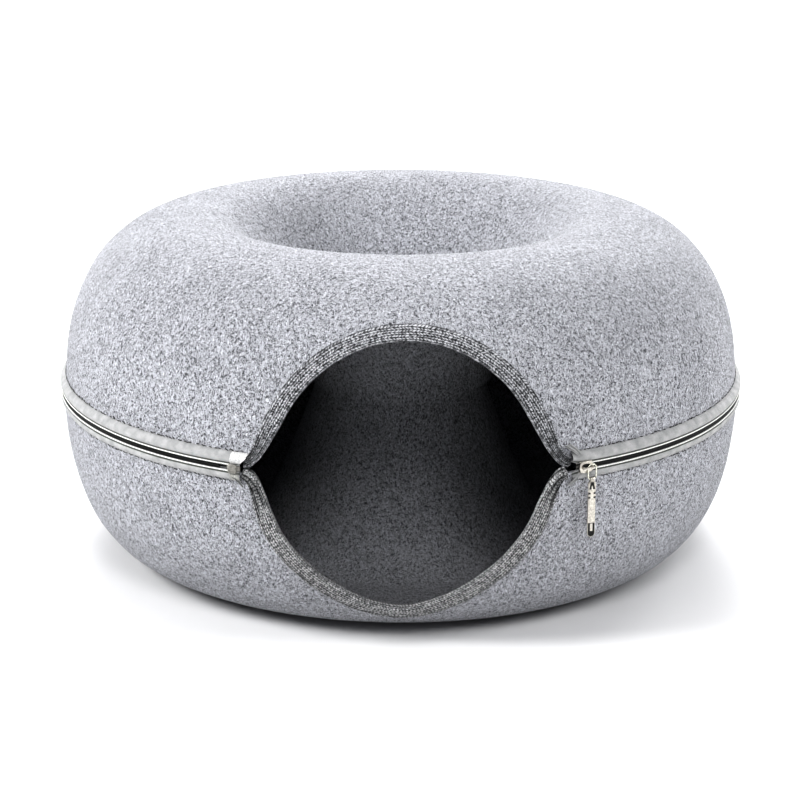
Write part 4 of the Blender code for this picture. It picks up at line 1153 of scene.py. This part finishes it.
def make_slider(material):
    """The cast slider: two plates with turned-in flanges, the post between them and the bail."""
    plate = slab("slider_plate", rounded_outline(PLATE[0] / 2, PLATE[2] / 2, PLATE_TAPER), PLATE[1])
    set_points(plate, get_points(plate) - (0.0, PLATE[1] / 2, 0.0))
    modify(plate, "BEVEL", width=PLATE_ROUND, segments=3, limit_method="ANGLE", angle_limit=0.9)
    hollow = slab("slider_hollow", rounded_outline(*HOLLOW, HOLLOW_TAPER), 2 * HOLLOW_DEEP)
    set_points(hollow, get_points(hollow) + (HOLLOW_X, -PLATE[1], HOLLOW_Z))
    cut_out(plate, hollow)
    flange_x, flange_y, flange_z = FLANGE_PLACE
    flanges = [block("slider_flange", FLANGE, (flange_x, flange_y, side * flange_z), FLANGE_ROUND)
               for side in (-1, 1)]
    keel_depth = PLATE_FACE - KEEL_FACE + KEEL[1] / 2
    keel = block("slider_keel", KEEL, (0.0, keel_depth, 0.0), KEEL_ROUND, segments=3)
    post = block("slider_post", POST, (POST_X, POST[1] / 2, 0.0), KEEL_ROUND)
    piece = join([plate, *flanges, keel, post, make_bail()], "cast_slider")
    set_on_ring(piece, SLIDER_ANGLE, PLATE_FACE)
    return finish_piece(piece, "zip_slider", material, degrees=35.0)


def bail_corner(half, top, reach):
    """Points round the bail's right-hand top corner, from the top down."""
    return [(half - reach * (1 - math.sin(turn)), top + reach * (1 - math.cos(turn)))
            for turn in np.linspace(0.0, math.pi / 2, 6)]


def make_bail():
    """An arch of flat strip that stands on the outer plate."""
    thick, tall = BAIL_BAR
    foot, top = BAIL_SUNK - PLATE[1], -PLATE[1] - BAIL_RISE
    inner_half = BAIL_HALF - thick
    right = bail_corner(BAIL_HALF, top, BAIL_ROUNDS[0])
    inner_right = bail_corner(inner_half, top + thick, BAIL_ROUNDS[1])
    left = [(-x, y) for x, y in right[::-1]]
    inner_left = [(-x, y) for x, y in inner_right[::-1]]
    outline = ([(-BAIL_HALF, foot)] + left + right + [(BAIL_HALF, foot), (inner_half, foot)]
               + inner_right[::-1] + inner_left[::-1] + [(-inner_half, foot)])
    bail = slab("slider_bail", outline, tall)
    set_points(bail, get_points(bail)[:, [0, 2, 1]])
    tidy_normals(bail)
    modify(bail, "BEVEL", width=EDGE_ROUND, segments=2, limit_method="ANGLE")
    return bail


def link_place():
    """Centre of the link in the slider's frame: it hangs on the bail's right-hand leg."""
    depth = -(PLATE[1] + GAP + LINK_WIRE / 2)
    height = BAIL_BAR[1] / 2 + GAP + LINK_WIRE / 2 - LINK_HALF[1]
    return LINK_X, depth, height


def make_link(material):
    """An oval link of round wire, with the butt of its two ends at the side."""
    deselect()
    bpy.ops.mesh.primitive_torus_add(major_segments=48, minor_segments=12,
                                     major_radius=LINK_CORNER, minor_radius=LINK_WIRE / 2)
    piece = named("wire_link")
    points = get_points(piece)[:, [0, 2, 1]]
    half_x, half_z = LINK_HALF
    spread = (np.abs(points[:, [0, 2]]) > 1e-5) * np.sign(points[:, [0, 2]])
    points[:, [0, 2]] += spread * (half_x - LINK_CORNER, half_z - LINK_CORNER)
    butt = np.exp(-((points[:, 2] - LINK_BUTT) / BUTT_WIDTH) ** 2) * (points[:, 0] < 0)
    points[:, 0] += butt * BUTT_WIDTH
    set_points(piece, points + link_place())
    tidy_normals(piece)
    set_on_ring(piece, SLIDER_ANGLE, PLATE_FACE)
    return finish_piece(piece, "zip_link", material, degrees=60.0)


def hung_tab(points):
    """Points of the tab, turned about its upright middle and hung on the link."""
    x, y = points[:, 0], points[:, 1]
    c, s = math.cos(TAB_SWIVEL), math.sin(TAB_SWIVEL)
    link_x, depth, height = link_place()
    hang = height - LINK_HALF[1] - (EYE_HOLE - LINK_WIRE / 2 - GAP)
    return np.stack([c * x - s * y, s * x + c * y, points[:, 2]], axis=1) + (link_x, depth, hang)


def eye_cylinder(name, radius, length):
    """A cylinder along x for the tab's eye or its hole."""
    deselect()
    bpy.ops.mesh.primitive_cylinder_add(vertices=EYE_SIDES, radius=radius, depth=length,
                                        rotation=(0.0, math.pi / 2, 0.0))
    piece = named(name)
    settle(piece)
    return piece


def make_tab(material):
    """The puller: an eye round the link, a spike and an island that stand on plates of painted shade,
    two beads, and a long bar.
    """
    width, thick, length = TAB
    half = width / 2
    top = -(EYE_HOLE + EYE_OUTER) / 2
    tip = [(math.sin(turn) * half, -length + half - math.cos(turn) * half)
           for turn in np.linspace(-math.pi / 2, math.pi / 2, 17)]
    neck, (far_reach, near_reach) = half - TAB_NECK, BEAD_REACH
    upper_bead, lower_bead = TAB_BEADS
    right = [(half, lower_bead - far_reach), (neck, lower_bead - near_reach),
             (neck, upper_bead + near_reach), (half, upper_bead + far_reach),
             (half, top - TAB_SHOULDER), (EYE_WIDTH / 2, top)]
    bar = slab("tab_bar", tip + right + [(-x, z) for x, z in right[::-1]], thick)
    modify(bar, "BEVEL", width=TAB_ROUND, segments=2, limit_method="ANGLE")
    near, far = TAB_WINDOW[0][0], TAB_WINDOW[1][0]
    island_wide, island_long = TAB_ISLAND
    proud = -(thick + INLAY) / 2
    spike = (far - near) * SPIKE_SHARE
    parts = [bar,
             block("tab_island", (island_wide, INLAY, island_long),
                   (0.0, proud, -TAB_TIP[0] - island_long / 2 - GAP), INLAY / 3),
             block("tab_spike", (SPIKE_WIDE, INLAY, spike), (0.0, proud, -far + spike / 2), INLAY / 3)]
    for z in TAB_BEADS:
        size = (width + BEAD_PROUD[0], thick + BEAD_PROUD[1], BEAD_TALL)
        parts.append(block("tab_bead", size, (0.0, 0.0, z), BEAD_ROUND, segments=3))
    eye = eye_cylinder("tab_eye", EYE_OUTER, EYE_WIDTH)
    modify(eye, "BEVEL", width=EDGE_ROUND, segments=2, limit_method="ANGLE", angle_limit=0.8)
    cut_out(eye, eye_cylinder("tab_eye_hole", EYE_HOLE, EYE_WIDTH * 2))
    piece = join(parts + [eye], "puller_tab")
    set_points(piece, hung_tab(get_points(piece)))
    set_on_ring(piece, SLIDER_ANGLE, PLATE_FACE)
    return finish_piece(piece, "zip_tab", material, degrees=30.0)


def make_shade_plates(material):
    """Painted shade, as thin dark plates: on the tab's window, nicks and tip, and in the slider's
    hollow.
    """
    (near, narrow), (far, wide) = TAB_WINDOW
    window = slab("window_shade_plate", [(-narrow, -near), (narrow, -near), (wide, -far), (-wide, -far)],
                  INLAY)
    high, low, half = TAB_TIP
    turns = np.linspace(-math.pi / 2, math.pi / 2, 13)
    tip = slab("tip_shade_plate", [(math.sin(a) * half, -low + half - math.cos(a) * half) for a in turns]
               + [(half, -high), (-half, -high)], INLAY)
    nicks = [block("nick_shade_plate", (NICK[0], INLAY, NICK[1]), (side * NICK_X, 0.0, z), INLAY / 3)
             for z in TAB_NICKS for side in (-1, 1)]
    face = join([window, tip, *nicks])
    set_points(face, hung_tab(get_points(face) - (0.0, TAB[1] / 2, 0.0)))
    bottom = rounded_outline(HOLLOW[0] - GAP / 3, HOLLOW[1] - GAP / 3, HOLLOW_TAPER)
    hollow = slab("hollow_bottom", bottom, INLAY)
    set_points(hollow, get_points(hollow) + (HOLLOW_X, HOLLOW_DEEP - PLATE[1] - INLAY, HOLLOW_Z))
    piece = join([face, hollow], "painted_shade_plates")
    set_on_ring(piece, SLIDER_ANGLE, PLATE_FACE)
    return finish_piece(piece, None, material, degrees=30.0)


# ---------------------------------------------------------------- studio

def make_floor():
    deselect()
    bpy.ops.mesh.primitive_circle_add(vertices=FLOOR_SIDES, radius=FLOOR_RADIUS, fill_type="NGON",
                                      location=(0, 0, 0))
    floor = named("studio_floor")
    made, tree, shader = new_material("white_seamless_paper", Roughness=0.9, Specular_IOR_Level=0.2)
    shader.inputs["Base Color"].default_value = linear(FLOOR_COLOUR)
    floor.data.materials.append(made)


def make_light(name, place, target, size, watts):
    deselect()
    bpy.ops.object.light_add(type="AREA", location=place)
    lamp = bpy.context.object
    lamp.name = name
    lamp.data.shape = "DISK"
    lamp.data.size = size
    lamp.data.energy = watts
    lamp.rotation_euler = (Vector(target) - Vector(place)).to_track_quat("-Z", "Y").to_euler()


def make_studio():
    make_floor()
    world = bpy.data.worlds.new("studio_air")
    bpy.context.scene.world = world
    world.use_nodes = True
    air = world.node_tree.nodes["Background"]
    air.inputs["Color"].default_value = linear(AIR_COLOUR)
    air.inputs["Strength"].default_value = AIR_LIGHT
    for light in LIGHTS:
        make_light(*light)
    scene = bpy.context.scene
    scene.view_settings.view_transform = "Standard"
    scene.view_settings.look = "None"
    scene.view_settings.gamma = PRINT_GAMMA


def make_camera():
    """The photograph's own view: its distance, angle and focal length."""
    down, turn = CAMERA_DOWN, CAMERA_TURN
    forward = Vector((-math.cos(down) * math.sin(turn), math.cos(down) * math.cos(turn),
                      -math.sin(down)))
    right = forward.cross(Vector((0, 0, 1))).normalized()
    up = right.cross(forward)
    target = Vector((0, AXIS_Y, ZIP_HEIGHT - AIM_DROP)) - right * AIM_LEFT * CAMERA_DISTANCE
    deselect()
    bpy.ops.object.camera_add()
    camera = bpy.context.object
    camera.name = "photograph_view"
    camera.data.sensor_width = SENSOR
    camera.data.lens = FOCAL_PIXELS * camera.data.sensor_width / PHOTO_SIDE
    turned = Matrix((right, up, -forward)).transposed().to_4x4()
    camera.matrix_world = (Matrix.Translation(target - forward * CAMERA_DISTANCE) @ turned
                           @ Matrix.Rotation(CAMERA_ROLL, 4, "Z"))
    bpy.context.scene.camera = camera


# ---------------------------------------------------------------- the whole piece

def main():
    finish = make_finishes()
    cutter = make_door_cutter()
    for key in HALVES:
        shell = make_felt(key, cutter, finish["felt"])
    bpy.data.objects.remove(cutter)
    for key in HALVES:
        make_binding(key, finish["twill_" + key])
        make_zip_tape(key, finish["tape"])
        make_cord(key, finish["cord"])
        make_coil(key, finish["coil"])
        make_stitches(key, finish["stitch_and_seam_shadow"])
        make_film(key, finish["film_" + key])
    make_box(finish["box"])
    make_slider(finish["nickel"])
    make_link(finish["wire"])
    make_tab(finish["nickel"])
    make_shade_plates(finish["painted_recess_shade"])
    make_studio()
    make_camera()


main()
